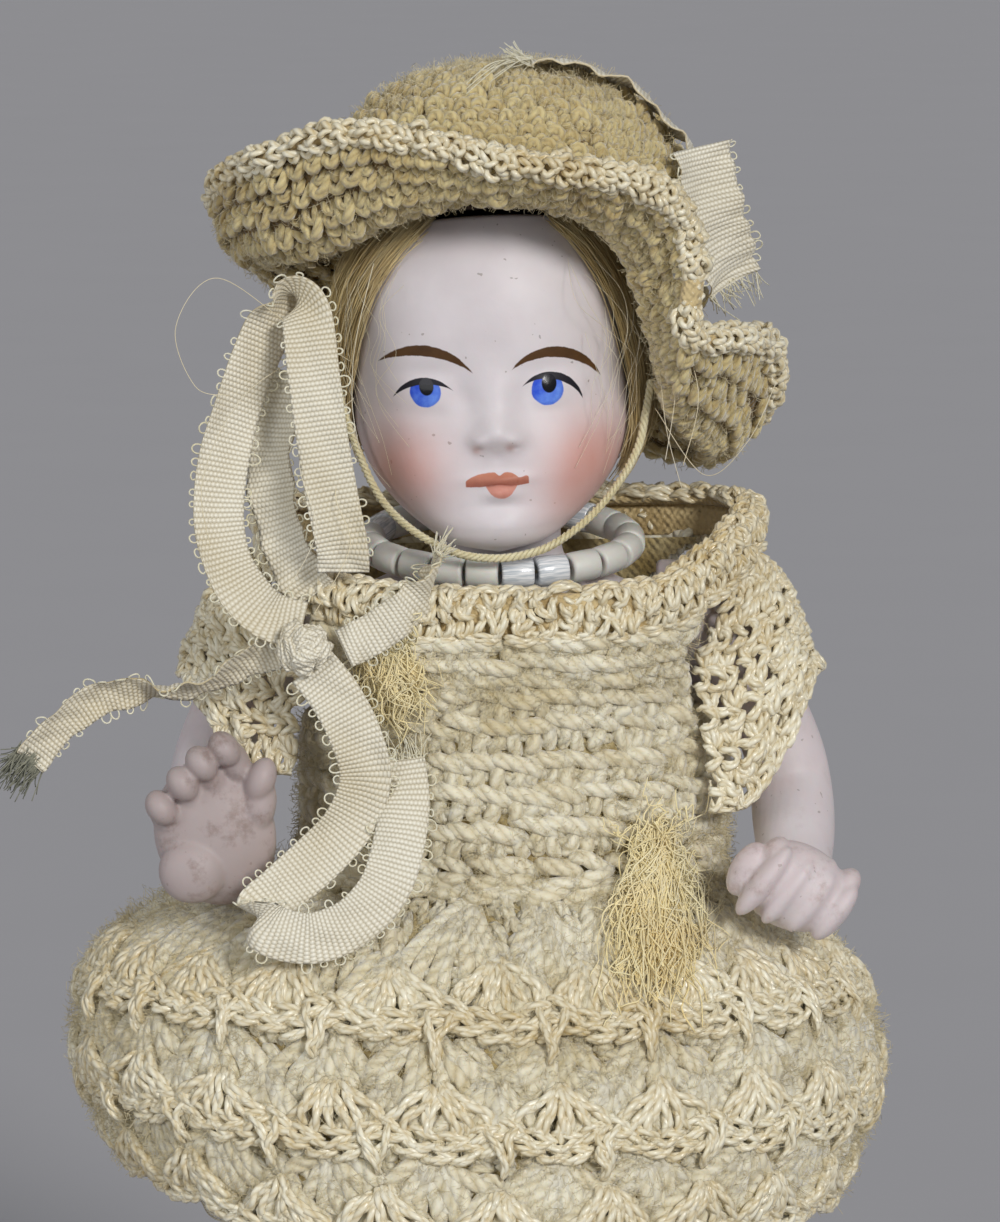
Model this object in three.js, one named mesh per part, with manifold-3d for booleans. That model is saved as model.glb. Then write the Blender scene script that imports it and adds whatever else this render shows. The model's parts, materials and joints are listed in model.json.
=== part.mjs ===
// A small jointed bisque doll in a crocheted dress and hat.
// Millimetres, +Z up. The doll faces -Y, so its own left side is +X.
import * as THREE from 'three';
import { mergeVertices } from 'three/addons/utils/BufferGeometryUtils.js';
import Module from 'manifold-3d';

const wasm = await Module();
wasm.setup();

// Driving dimensions
const GAP = 0.3; // between pieces that touch
const SEAT = 0.5; // from the dress to what lies on it
const BODY_X = 3.5; // the doll's centre line from the middle of its box
const BODY_Y = 0.3;
const BISQUE_WALL = 2.0;
const NECK_RADIUS = 5.4;
const TORSO_HALF_WIDTH = 12.9;
const SHOULDER_Z = 88;
const SHOULDER_RADIUS = 4.4;
const SHOULDER_THICKNESS = 5.2;
const HIP_Z = 49;
const HIP_RADIUS = 6.2;
const HIP_THICKNESS = 6.2;
const HIP_DOME = 0.2; // the hip's rounding beyond its disc
const PELVIS_HALF_WIDTH = 6.8;
const JOINT_GAP = 0.4; // between a limb's flat inner face and the torso
const WIRE_RADIUS = 0.45;
const WIRE_HOLE_RADIUS = 0.85;
const WIRE_HOOK = 2.0; // length of each bent-over wire end
const HEAD_ROLL_DEG = -3; // the head leans a little to its right
const HEAD_PIVOT_Z = 94;
const CROWN_RIM_FRONT_Z = 122.3; // the open crown's rim, front and back
const CROWN_RIM_BACK_Z = 118.0;
const PATE_THICKNESS = 0.9;
const WIG_THICKNESS = 0.9;
const HAIR_THICKNESS = 1.1;
const HAT_THICKNESS = 1.6;
const BRIM_TRIM = 1.4; // from the outermost line back to the brim's own lip
const HAT_EDGING_RADIUS = 0.85;
const HAT_EDGING_CLEARANCE = 1.0; // from the brim's lip
const BEAD_RADIUS = 1.3;
const BEAD_LENGTH = 2.3;
const BEAD_HOLE_RADIUS = 0.5;
const BEAD_THREAD_RADIUS = 0.16;
const BEAD_COUNT = 22;
const SATIN_BEADS = [0, 1, 8, 15]; // counted from the throat towards the doll's left
const NECKLACE_HALF_WIDTH = 11.0;
const NECKLACE_HALF_DEPTH = 9.0;
const NECKLACE_FRONT_Z = 92.5;
const NECKLACE_BACK_Z = 95.6;
const CHIN_CORD_RADIUS = 0.34;
const RIBBON_WIDTH = 4.3;
const RIBBON_THICKNESS = 0.4;
const DRESS_THICKNESS = 2.0;
const ARMHOLE_RADIUS = 9.4;
const ARMHOLE_X = 13.2; // the armhole cuts the bodice outside this
const NECK_BAND_HEIGHT = 3.4;
const NECK_BAND_THICKNESS = 1.5;
const SLEEVE_THICKNESS = 1.1;
const SKIRT_THICKNESS = 1.8;
const SKIRT_HEM_LIFT = 3.4; // the hem rises this much at the doll's right side
const SHELL_COUNT = 22; // crocheted shells round the hem
const SHELL_DEPTH = 1.3;
const BAND_THICKNESS = 0.8;
const PETTICOAT_THICKNESS = 0.5;
const PETTICOAT_DROP = 2.4; // how far the petticoat shows below the hem
const PETTICOAT_CLEARANCE = 1.5; // from the skirt's lining side
const PETTICOAT_FOLDS = SHELL_COUNT / 2;
const PETTICOAT_FOLD_DEPTH = 0.5;
const WAISTBAND_THICKNESS = 1.0;
const WAISTBAND_TOP_Z = 64.4;
const WAISTBAND_HEIGHT = 2.2;
const WAISTBAND_EASE = 0.9; // from the torso
const SILK_BAND_HEIGHT = 3.4;
const UPPER_BAND_TOP_Z = 59.4;
const LOWER_BAND_TOP_Z = 50.2;
const HAIR_TOP_Z = 116.4; // of the locks beside the face
const LEFT_HAIR_LOW_Z = 101.5;
const RIGHT_HAIR_LOW_Z = 105.5;
const BACK_HAIR_TOP_Z = 114.4;
const BACK_HAIR_LOW_Z = 103;

const TAU = Math.PI * 2;
const rad = THREE.MathUtils.degToRad;
const lerp = THREE.MathUtils.lerp;
const smooth = THREE.MathUtils.smoothstep;
const V = (x, y, z) => new THREE.Vector3(x, y, z);

// Finishes
const BISQUE = { color: '#e2dbde', roughness: 0.6, metalness: 0 };
const STEEL_WIRE = { color: '#6d6a66', roughness: 0.45, metalness: 0.9 };
const CARDBOARD = { color: '#3c2a20', roughness: 0.9, metalness: 0 };
const LINEN = { color: '#c9bfa2', roughness: 0.95, metalness: 0 };
const MOHAIR = { color: '#bda873', roughness: 0.7, metalness: 0 };
const WOOL = { color: '#d6cda5', roughness: 0.95, metalness: 0 };
const SILK = { color: '#ead9b0', roughness: 0.5, metalness: 0 };
const RIBBON = { color: '#e8e2be', roughness: 0.55, metalness: 0 };
const FLOSS = { color: '#e2c878', roughness: 0.6, metalness: 0 };
const GLASS_BEAD = { color: '#b9b9b0', roughness: 0.2, metalness: 0 };
const SATIN_BEAD = { color: '#ebeef0', roughness: 0.3, metalness: 0 };
const NET = { color: '#e4dcc4', roughness: 0.9, metalness: 0 };

const doll = new THREE.Group();
doll.position.set(BODY_X, BODY_Y, 0);
const headGroup = new THREE.Group();
headGroup.position.set(0, 0, HEAD_PIVOT_Z);
headGroup.rotation.y = rad(HEAD_ROLL_DEG);
doll.add(headGroup);

function addPiece(name, geometry, finish, parent = doll) {
  const mesh = new THREE.Mesh(geometry, new THREE.MeshStandardMaterial(finish));
  mesh.name = name;
  parent.add(mesh);
  return mesh;
}

// Mesh helpers: every surface below ends as one closed body with merged vertices
function signedVolume(geometry) {
  const position = geometry.attributes.position;
  const index = geometry.index.array;
  let sum = 0;
  for (let i = 0; i < index.length; i += 3) {
    const a = V().fromBufferAttribute(position, index[i]);
    const b = V().fromBufferAttribute(position, index[i + 1]);
    const c = V().fromBufferAttribute(position, index[i + 2]);
    sum += a.dot(b.cross(c)) / 6;
  }
  return sum;
}

function closeUp(geometry) {
  for (const attribute of Object.keys(geometry.attributes)) {
    if (attribute !== 'position') geometry.deleteAttribute(attribute);
  }
  const merged = mergeVertices(geometry, 1e-3);
  const index = merged.index.array;
  let kept = [];
  for (let i = 0; i < index.length; i += 3) {
    const [a, b, c] = [index[i], index[i + 1], index[i + 2]];
    if (a !== b && b !== c && c !== a) kept.push(a, b, c);
  }
  merged.setIndex(kept);
  if (signedVolume(merged) < 0) {
    kept = kept.reverse();
    merged.setIndex(kept);
  }
  return merged;
}

function fromFaces(points, faces) {
  const geometry = new THREE.BufferGeometry().setFromPoints(points);
  geometry.setIndex(faces);
  return closeUp(geometry);
}

// A skin over rings of equal length, closed by a fan at each end
function loft(rings) {
  const points = rings.flat();
  const size = rings[0].length;
  const faces = [];
  for (let row = 0; row + 1 < rings.length; row++) {
    for (let i = 0; i < size; i++) {
      const a = row * size + i;
      const b = row * size + ((i + 1) % size);
      faces.push(a, b, b + size, a, b + size, a + size);
    }
  }
  for (const [start, flip] of [[0, true], [(rings.length - 1) * size, false]]) {
    const middle = V();
    for (let i = 0; i < size; i++) middle.add(points[start + i]);
    points.push(middle.divideScalar(size));
    for (let i = 0; i < size; i++) {
      const a = start + i;
      const b = start + ((i + 1) % size);
      if (flip) faces.push(b, a, points.length - 1);
      else faces.push(a, b, points.length - 1);
    }
  }
  return fromFaces(points, faces);
}

// A sheet of cloth or a thin shell: rows of points given a thickness.
// wrap joins each row's ends; a row of equal points is a pole. lift moves the
// sheet's middle off the points, outwards where the rows run down a ring.
function shell(rows, thickness, wrap, lift = 0) {
  const height = rows.length;
  const width = rows[0].length;
  const column = (i) => (wrap ? (i + width) % width : THREE.MathUtils.clamp(i, 0, width - 1));
  const normals = rows.map((row, r) => row.map((_, i) => {
    const across = rows[r][column(i + 1)].clone().sub(rows[r][column(i - 1)]);
    const along = rows[Math.min(r + 1, height - 1)][i].clone().sub(rows[Math.max(r - 1, 0)][i]);
    return along.cross(across).normalize();
  }));
  for (const [r, next] of [[0, 1], [height - 1, height - 2]]) {
    const isPole = rows[r][0].distanceTo(rows[r][Math.floor(width / 2)]) < 1e-6;
    if (isPole) {
      const mean = normals[next].reduce((sum, n) => sum.add(n), V()).normalize();
      normals[r] = rows[r].map(() => mean);
    }
  }
  const offset = (side) => rows.map((row, r) => row.map(
    (p, i) => p.clone().addScaledVector(normals[r][i], lift + side * thickness / 2)));
  const points = [...offset(1).flat(), ...offset(-1).flat()];
  const back = height * width;
  const faces = [];
  const quad = (a, b, c, d) => faces.push(a, b, c, a, c, d);
  const spans = wrap ? width : width - 1;
  for (let r = 0; r + 1 < height; r++) {
    for (let i = 0; i < spans; i++) {
      const a = r * width + i;
      const b = r * width + column(i + 1);
      quad(a, b, b + width, a + width);
      quad(back + b, back + a, back + a + width, back + b + width);
    }
  }
  for (let i = 0; i < spans; i++) {
    const end = (height - 1) * width;
    quad(back + i, back + column(i + 1), column(i + 1), i);
    quad(end + i, end + column(i + 1), back + end + column(i + 1), back + end + i);
  }
  if (!wrap) {
    for (let r = 0; r + 1 < height; r++) {
      const a = r * width;
      const b = a + width - 1;
      quad(a, a + width, back + a + width, back + a);
      quad(back + b, back + b + width, b + width, b);
    }
  }
  return fromFaces(points, faces);
}

function toSolid(geometry) {
  const mesh = new wasm.Mesh({
    numProp: 3,
    vertProperties: new Float32Array(geometry.attributes.position.array),
    triVerts: new Uint32Array(geometry.index.array),
  });
  return new wasm.Manifold(mesh);
}

function toGeometry(solid) {
  const mesh = solid.getMesh();
  const geometry = new THREE.BufferGeometry();
  geometry.setAttribute('position', new THREE.BufferAttribute(mesh.vertProperties, 3));
  geometry.setIndex(Array.from(mesh.triVerts));
  return closeUp(geometry);
}

const joined = (...parts) => parts.map(toSolid).reduce((a, b) => a.add(b));
const cutBy = (solid, ...tools) => tools.map(toSolid).reduce((a, b) => a.subtract(b), solid);

function rodAlongX(radius, xFrom, xTo, z, sides = 20) {
  const geometry = new THREE.CylinderGeometry(radius, radius, xTo - xFrom, sides);
  geometry.rotateZ(Math.PI / 2);
  geometry.translate((xFrom + xTo) / 2, 0, z);
  return closeUp(geometry);
}

function blob(center, radii, turn = [0, 0, 0], detail = 10) {
  const geometry = new THREE.SphereGeometry(1, detail, Math.round(detail * 0.7));
  geometry.scale(...radii);
  geometry.rotateX(rad(turn[0]));
  geometry.rotateY(rad(turn[1]));
  geometry.rotateZ(rad(turn[2]));
  geometry.translate(...center);
  return closeUp(geometry);
}

function tube(points, radius, steps, sides = 8, closed = false) {
  const path = new THREE.CatmullRomCurve3(points, closed);
  const outline = new THREE.Shape(Array.from({ length: sides }, (_, i) => new THREE.Vector2(
    radius * Math.cos(TAU * i / sides), radius * Math.sin(TAU * i / sides))));
  const options = { extrudePath: path, steps, bevelEnabled: false };
  return closeUp(new THREE.ExtrudeGeometry(outline, options));
}

// A round limb through stations [x, y, z, radius]
function limb(stations, sides = 12) {
  const path = stations.map(([x, y, z]) => V(x, y, z));
  const rings = stations.map(([, , , radius], k) => {
    const ahead = path[Math.min(k + 1, path.length - 1)];
    const along = ahead.clone().sub(path[Math.max(k - 1, 0)]).normalize();
    const side = V(0, 1, 0).cross(along).normalize();
    const up = along.clone().cross(side);
    return Array.from({ length: sides }, (_, i) => path[k].clone()
      .addScaledVector(side, radius * Math.cos(TAU * i / sides))
      .addScaledVector(up, radius * Math.sin(TAU * i / sides)));
  });
  return loft(rings);
}

// Profiles: values looked up along a table of rows whose first entry is the height
function profile(table, z) {
  const rising = table[table.length - 1][0] > table[0][0];
  const rows = rising ? table : [...table].reverse();
  let k = rows.findIndex((row) => row[0] > z) - 1;
  if (k < -1 || z >= rows[rows.length - 1][0]) k = rows.length - 2;
  k = Math.max(k, 0);
  const at = (i) => rows[THREE.MathUtils.clamp(i, 0, rows.length - 1)];
  const [a, b] = [at(k), at(k + 1)];
  const t = THREE.MathUtils.clamp((z - a[0]) / (b[0] - a[0]), 0, 1);
  const slope = (i, c) => {
    const [p, q] = [at(i - 1), at(i + 1)];
    return (q[c] - p[c]) / (q[0] - p[0]);
  };
  const span = b[0] - a[0];
  return a.slice(1).map((_, j) => {
    const c = j + 1;
    const [m0, m1] = [slope(k, c) * span, slope(k + 1, c) * span];
    return (2 * t ** 3 - 3 * t ** 2 + 1) * a[c] + (t ** 3 - 2 * t ** 2 + t) * m0
      + (3 * t ** 2 - 2 * t ** 3) * b[c] + (t ** 3 - t ** 2) * m1;
  });
}

const power = (value, exponent) => Math.sign(value) * Math.abs(value) ** exponent;

// Head: slices [z, half width, front y, back y] with the face raised on the front
const HEAD_TOP_Z = 127.2;
const CHIN_Z = 94.2;
const HEAD_SLICES = [
  [94.2, 0.2, -8.4, -7.6], [95, 3.8, -10.7, -3.5], [96.5, 6.3, -11.7, 1.5],
  [98.5, 8.6, -12.0, 5.6], [101, 10.4, -12.2, 8.4], [104, 11.5, -12.2, 10.8],
  [107, 11.8, -11.9, 12.2], [110, 11.7, -12.2, 12.9], [113, 11.5, -12.4, 13.0],
  [116, 11.1, -12.2, 12.6], [119, 10.3, -11.3, 11.7], [121.5, 9.2, -9.7, 10.3],
  [124, 7.4, -7.4, 8.2], [126, 4.7, -4.3, 5.2], [127.2, 0.2, -0.2, 0.4],
];
// Reliefs [x, z, width, height, depth] on the face
const FACE_RELIEFS = [
  [0, 108.0, 1.5, 3.2, 1.3], [0, 104.6, 1.7, 1.5, 2.0], [-1.6, 104.0, 0.9, 0.9, 0.9],
  [1.6, 104.0, 0.9, 0.9, 0.9], [0, 100.6, 2.2, 0.7, 0.8], [0, 99.6, 1.4, 0.7, 0.7],
  [0, 96.4, 2.2, 1.5, 0.7], [-5.0, 108.4, 2.3, 1.5, -0.7], [5.0, 108.4, 2.3, 1.5, -0.7],
  [-7.2, 102.2, 3.0, 3.0, 0.7], [7.2, 102.2, 3.0, 3.0, 0.7],
];

function headPoint(azimuth, z, raise = 0) {
  const [w, front, back] = profile(HEAD_SLICES, z);
  const middle = (front + back) / 2;
  const depth = (back - front) / 2;
  const fullness = 0.92;
  const x = (w + raise) * power(Math.sin(azimuth), fullness);
  let y = middle - (depth + raise) * power(Math.cos(azimuth), fullness);
  const facing = Math.max(Math.cos(azimuth), 0);
  if (raise === 0) {
    for (const [cx, cz, sx, sz, h] of FACE_RELIEFS) {
      y -= h * facing * Math.exp(-(((x - cx) / sx) ** 2) - ((z - cz) / sz) ** 2);
    }
  }
  return V(x, y, z);
}

function headSolid(wall = 0) {
  const columns = wall ? 14 : 36;
  const rows = wall ? 8 : 20;
  const crowding = wall ? 0 : 0.45; // puts more columns on the face
  const [low, high] = [CHIN_Z + wall, HEAD_TOP_Z - wall];
  const rings = Array.from({ length: rows + 1 }, (_, r) => {
    const z = lerp(low, high, 0.5 - 0.5 * Math.cos(Math.PI * lerp(0.04, 0.96, r / rows)));
    return Array.from({ length: columns }, (_, i) => {
      const turn = TAU * i / columns - Math.PI;
      return headPoint(turn - crowding * Math.sin(turn), z, -wall);
    });
  });
  return loft(rings);
}

const rimZ = (y) => lerp(CROWN_RIM_FRONT_Z, CROWN_RIM_BACK_Z, (y + 9) / 18);

// Torso slices [z, half width, front y, back y]
const TORSO_SLICES = [
  [43, 3.6, -3.6, 3.6], [43.8, 5.2, -5.0, 5.0], [45.5, 6.4, -6.2, 6.4],
  [49, PELVIS_HALF_WIDTH, -7.2, 7.6], [53, PELVIS_HALF_WIDTH, -7.7, 7.9],
  [55.6, PELVIS_HALF_WIDTH, -7.9, 7.8],
  [56.6, TORSO_HALF_WIDTH - 2.5, -8.0, 7.6], [59, TORSO_HALF_WIDTH - 1.6, -8.3, 7.2],
  [63, TORSO_HALF_WIDTH - 2.2, -7.8, 6.6], [68, TORSO_HALF_WIDTH - 2.3, -7.2, 6.5],
  [74, TORSO_HALF_WIDTH - 1.5, -7.3, 6.8], [80, TORSO_HALF_WIDTH - 0.5, -7.4, 7.0],
  [85, TORSO_HALF_WIDTH, -7.1, 6.8], [88.5, TORSO_HALF_WIDTH - 0.2, -6.4, 6.3],
  [90.6, TORSO_HALF_WIDTH - 2.1, -5.8, 5.8], [91.8, 7.4, -5.4, 5.6], [93, NECK_RADIUS, -5.2, 5.4],
  [99, NECK_RADIUS, -5.0, 5.8],
];

function sliceRing([z, w, front, back], sides, wall = 0) {
  const middle = (front + back) / 2;
  const depth = (back - front) / 2;
  return Array.from({ length: sides }, (_, i) => {
    const turn = TAU * i / sides;
    const x = (w - wall) * power(Math.sin(turn), 0.85);
    return V(x, middle - (depth - wall) * power(Math.cos(turn), 0.85), z);
  });
}

function torsoSolid(wall = 0) {
  const sides = wall ? 12 : 20;
  const roomy = TORSO_SLICES.filter(([z]) => !wall || z > TORSO_SLICES[1][0] + wall);
  return loft(roomy.map((slice) => sliceRing(slice, sides, wall)));
}

function placedHead(geometry) {
  geometry.translate(0, 0, -HEAD_PIVOT_Z);
  geometry.rotateY(rad(HEAD_ROLL_DEG));
  geometry.translate(0, 0, HEAD_PIVOT_Z);
  return geometry;
}

function makeHeadAndTorso() {
  const lid = new THREE.BoxGeometry(40, 60, 20);
  lid.translate(0, 0, 10);
  lid.rotateX(Math.atan2(CROWN_RIM_BACK_Z - CROWN_RIM_FRONT_Z, 18));
  lid.translate(0, 0, rimZ(0));
  const throat = new THREE.CylinderGeometry(NECK_RADIUS - BISQUE_WALL, NECK_RADIUS - BISQUE_WALL, 12, 16);
  throat.rotateX(Math.PI / 2);
  throat.translate(0, 0.2, 95);
  const casting = joined(torsoSolid(), placedHead(headSolid()));
  const hollow = cutBy(casting, torsoSolid(BISQUE_WALL), placedHead(headSolid(BISQUE_WALL)),
    closeUp(throat), placedHead(closeUp(lid)));
  const beyond = TORSO_HALF_WIDTH + 1;
  const shoulderHole = rodAlongX(WIRE_HOLE_RADIUS, -beyond, beyond, SHOULDER_Z, 12);
  const hipHole = rodAlongX(WIRE_HOLE_RADIUS, -TORSO_HALF_WIDTH, TORSO_HALF_WIDTH, HIP_Z, 12);
  addPiece('head_and_torso', toGeometry(cutBy(hollow, shoulderHole, hipHole)), BISQUE);
}

// Arms: both come from like moulds, bent at the elbow; only the hands differ.
// Their points are measured from the shoulder's inner face, on the wire
const ARM_INNER_X = TORSO_HALF_WIDTH + JOINT_GAP;
const ARM_OUTER_X = ARM_INNER_X + SHOULDER_THICKNESS;
const ARM_STATIONS = [
  [2.9, 0, 0.6, 2.2], [3.9, 0.1, -1.4, 3.6], [6.3, 0.3, -4.4, 3.7],
  [9.0, 0.6, -7.8, 3.4], [10.8, 0.9, -11.8, 3.4], [11.5, 0.6, -15.0, 3.5],
  [11.7, -1.8, -17.8, 3.5], [11.7, -5.2, -19.8, 3.2], [11.6, -8.6, -21.0, 2.9],
];
const fromShoulder = ([x, y, z]) => [ARM_INNER_X + x, y, SHOULDER_Z + z];

function armBody() {
  const disc = rodAlongX(SHOULDER_RADIUS, ARM_INNER_X, ARM_OUTER_X - 0.6, SHOULDER_Z, 20);
  const domeRadii = [2.6, SHOULDER_RADIUS, SHOULDER_RADIUS];
  const dome = blob([ARM_OUTER_X - 2.6, 0, SHOULDER_Z], domeRadii, [0, 0, 0], 14);
  const stations = ARM_STATIONS.map((station) => [...fromShoulder(station), station[3]]);
  return joined(limb(stations), disc, dome);
}

// Closed hand: a rounded palm with four finger rolls and a thumb
function closedHand() {
  const palm = blob(fromShoulder([11.3, -12.0, -21.8]), [5.0, 3.6, 3.9], [0, 24, 0], 14);
  const fingers = [0, 1, 2, 3].map((k) => blob(
    fromShoulder([8.7 + 2.0 * k, -13.9 + 0.35 * k, -20.8 - 0.95 * k]),
    [1.5, 2.0, 3.6 - 0.25 * k], [0, 38, 0], 8));
  const thumb = blob(fromShoulder([7.6, -12.6, -20.4]), [1.5, 1.6, 2.3], [0, 30, 0], 8);
  return joined(palm, ...fingers, thumb);
}

// Open hand, fingers curled forward over the top of the palm; made for the left
// side and mirrored with its arm
const FINGER_TIPS = [[15.0, -12.7, -14.8], [13.2, -13.1, -12.7], [11.6, -13.1, -11.0], [9.7, -12.8, -9.8]];

function openHand() {
  const palm = blob(fromShoulder([10.6, -10.9, -17.0]), [5.2, 3.2, 6.4], [0, 14, 0], 14);
  const fingers = FINGER_TIPS.map((tip) => blob(fromShoulder(tip), [1.35, 1.7, 1.9], [0, 35, 0], 8));
  const thumb = blob(fromShoulder([6.6, -12.0, -12.8]), [1.3, 1.8, 1.9], [0, -20, 0], 8);
  return joined(palm, ...fingers, thumb);
}

function makeArms() {
  const hole = rodAlongX(WIRE_HOLE_RADIUS, ARM_INNER_X - 1, ARM_OUTER_X + 1, SHOULDER_Z, 12);
  const recess = rodAlongX(WIRE_HOOK + WIRE_RADIUS + 2 * GAP, ARM_OUTER_X, ARM_OUTER_X + 6, SHOULDER_Z, 16);
  const strung = cutBy(armBody(), hole, recess);
  addPiece('left_arm', toGeometry(strung.add(closedHand())), BISQUE);
  addPiece('right_arm', toGeometry(strung.add(openHand()).mirror([1, 0, 0])), BISQUE);
}

// Legs: slices [z, inner x, outer x, front y, back y], x from the hip's inner face;
// the sole is flat
const LEG_INNER_X = PELVIS_HALF_WIDTH + JOINT_GAP;
const LEG_OUTER_X = LEG_INNER_X + HIP_THICKNESS;
const LEG_SLICES = [
  [0, -2.3, 4.8, -10.4, 4.4], [1.2, -2.5, 5.0, -10.8, 4.6], [3, -2.3, 4.8, -9.6, 4.4],
  [5, -2.1, 4.5, -6.4, 4.1], [7.2, -1.9, 4.1, -4.0, 3.8], [10, -2.0, 4.0, -3.3, 3.6],
  [14, -2.4, 4.4, -3.6, 4.2], [19, -2.7, 4.8, -4.1, 4.8], [24, -2.6, 4.8, -4.3, 4.1],
  [28, -2.5, 5.0, -4.6, 4.3], [34, -2.5, 5.8, -5.3, 4.9], [37, -1.9, 6.2, -5.6, 5.2],
  [40, -0.1, 6.4, -5.8, 5.5], [44, 0, 6.4, -5.9, 5.8], [48, 0, HIP_THICKNESS, -5.6, 5.6],
];

function makeLegs() {
  const rings = LEG_SLICES.map(([z, inner, outer, front, back]) => {
    const ring = sliceRing([z, (outer - inner) / 2, front, back], 16);
    return ring.map((p) => p.add(V(LEG_INNER_X + (inner + outer) / 2, 0, 0)));
  });
  const disc = rodAlongX(HIP_RADIUS, LEG_INNER_X, LEG_OUTER_X - 0.6, HIP_Z, 20);
  const dome = blob([LEG_OUTER_X - 3, 0, HIP_Z], [3 + HIP_DOME, HIP_RADIUS, HIP_RADIUS], [0, 0, 0], 14);
  const hole = rodAlongX(WIRE_HOLE_RADIUS, LEG_INNER_X - 1, LEG_OUTER_X + 2, HIP_Z, 12);
  const leg = joined(loft(rings), disc, dome).subtract(toSolid(hole));
  addPiece('left_leg', toGeometry(leg), BISQUE);
  addPiece('right_leg', toGeometry(leg.mirror([1, 0, 0])), BISQUE);
}

// Stringing wires, bent over at both ends to keep the limbs on
function makeWire(name, outerX, z) {
  const bend = outerX + GAP + WIRE_RADIUS;
  const route = [
    V(-bend, 0, z + WIRE_HOOK), V(-bend, 0, z + 1), V(-bend + 0.6, 0, z), V(-bend + 2.5, 0, z),
    V(0, 0, z), V(bend - 2.5, 0, z), V(bend - 0.6, 0, z), V(bend, 0, z + 1), V(bend, 0, z + WIRE_HOOK),
  ];
  addPiece(name, tube(route, WIRE_RADIUS, 22, 5), STEEL_WIRE);
}

// Pate, wig cap and hair follow the head's surface
function scalpPatch(from, to, lowZ, raise, thickness, columns, wrap) {
  const rows = 4;
  const spans = wrap ? columns : columns - 1;
  return shell(Array.from({ length: rows + 1 }, (_, r) => Array.from({ length: columns }, (_, i) => {
    const azimuth = lerp(from, to, i / spans);
    const z = lerp(HEAD_TOP_Z - 0.02, lowZ(azimuth), Math.sin(r / rows * Math.PI / 2) ** 1.2);
    const p = headPoint(azimuth, z, raise + 1e-6);
    if (r === 0) return V(0, 0.1, HEAD_TOP_Z + raise - HEAD_PIVOT_Z);
    const lift = raise * smooth(z, HEAD_TOP_Z - 8, HEAD_TOP_Z);
    return V(p.x, p.y, p.z + lift - HEAD_PIVOT_Z);
  })), thickness, wrap);
}

function hairPatch(from, to, topZ, lowZ, columns) {
  const rows = 4;
  const raise = GAP + HAIR_THICKNESS / 2;
  return shell(Array.from({ length: rows + 1 }, (_, r) => Array.from({ length: columns }, (_, i) => {
    const azimuth = lerp(from, to, i / (columns - 1));
    const p = headPoint(azimuth, lerp(topZ, lowZ, r / rows), raise);
    return V(p.x, p.y, p.z - HEAD_PIVOT_Z);
  })), HAIR_THICKNESS, false);
}

function makeHair() {
  const rim = (azimuth) => {
    let z = CROWN_RIM_FRONT_Z;
    for (let k = 0; k < 6; k++) z = rimZ(headPoint(azimuth, z).y);
    return z + GAP + 0.3;
  };
  const pateRaise = PATE_THICKNESS / 2 + 0.1;
  addPiece('crown_pate', scalpPatch(0, TAU, rim, pateRaise, PATE_THICKNESS, 20, true), CARDBOARD, headGroup);
  const capRaise = pateRaise + (PATE_THICKNESS + WIG_THICKNESS) / 2 + 1.6 * GAP;
  const capLow = (azimuth) => lerp(121.4, 125.2, Math.max(Math.cos(azimuth), 0) ** 0.5);
  addPiece('wig_cap', scalpPatch(0, TAU, capLow, capRaise, WIG_THICKNESS, 20, true), LINEN, headGroup);
  addPiece('hair_left', hairPatch(rad(50), rad(112), HAIR_TOP_Z, LEFT_HAIR_LOW_Z, 7), MOHAIR, headGroup);
  addPiece('hair_right', hairPatch(rad(-112), rad(-50), HAIR_TOP_Z, RIGHT_HAIR_LOW_Z, 7), MOHAIR, headGroup);
  const backHair = hairPatch(rad(116), rad(244), BACK_HAIR_TOP_Z, BACK_HAIR_LOW_Z, 13);
  addPiece('hair_back', backHair, MOHAIR, headGroup);
}

// Hat: loops of points from the crown's foot to the brim's belly and its edge
const HAT_CROWN = [[0, 133.6], [5, 133.4], [9.6, 132.0], [12.9, 129.4], [14.8, 126.0], [15.5, 122.6]];
const HAT_CENTER = [1.0, 1.5];
const HAT_FOOT = [[0, 125.6], [90, 115.5], [180, 112.5], [270, 121.0]]; // [azimuth, z]
const BRIM_BELLY = [
  [0, -17, 124.8], [5.0, -16.6, 124.2], [9.4, -14.2, 121.8], [11.9, -11.8, 117.6], [13.1, -9.4, 112.2],
  [13.8, -6.4, 107.4], [14.6, -2.4, 103.2], [16.0, 2.6, 100.9], [16.6, 7.6, 99.9], [15.0, 12.2, 99.9],
  [9.6, 16, 101.6], [1, 18, 104.6], [-8, 17.4, 108.2], [-15.5, 12.8, 113.0], [-20, 5.2, 117.0],
  [-20.8, -2, 118.2], [-17.2, -8.2, 118.8], [-11.5, -13.4, 122.2], [-6, -16.2, 124.4],
];
const BRIM_EDGE = [
  [0, -21, 127.9], [6.5, -21, 127.1], [12.4, -19.5, 125.7], [15.0, -17.2, 123.0], [15.9, -15.8, 118.4],
  [15.8, -14.8, 113.2], [20.2, -8.8, 112.2], [22.7, 1.5, 110.3], [22.9, 7, 105.7], [19.5, 13, 102.2],
  [12, 18.8, 102.2], [2, 21.6, 104.8], [-9, 20.8, 109.4], [-18, 15.4, 115.0], [-22.6, 6.5, 120.0],
  [-23.5, -1.5, 124.0], [-20.5, -9.5, 126.7], [-13, -16.5, 129.7], [-6, -20, 129.3],
];
const HAT_COLUMNS = 38;

const loopCurve = (points) => new THREE.CatmullRomCurve3(points.map((p) => V(...p)), true);

function azimuthOf(point) {
  return Math.atan2(point.x - HAT_CENTER[0], -(point.y - HAT_CENTER[1]));
}

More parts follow.
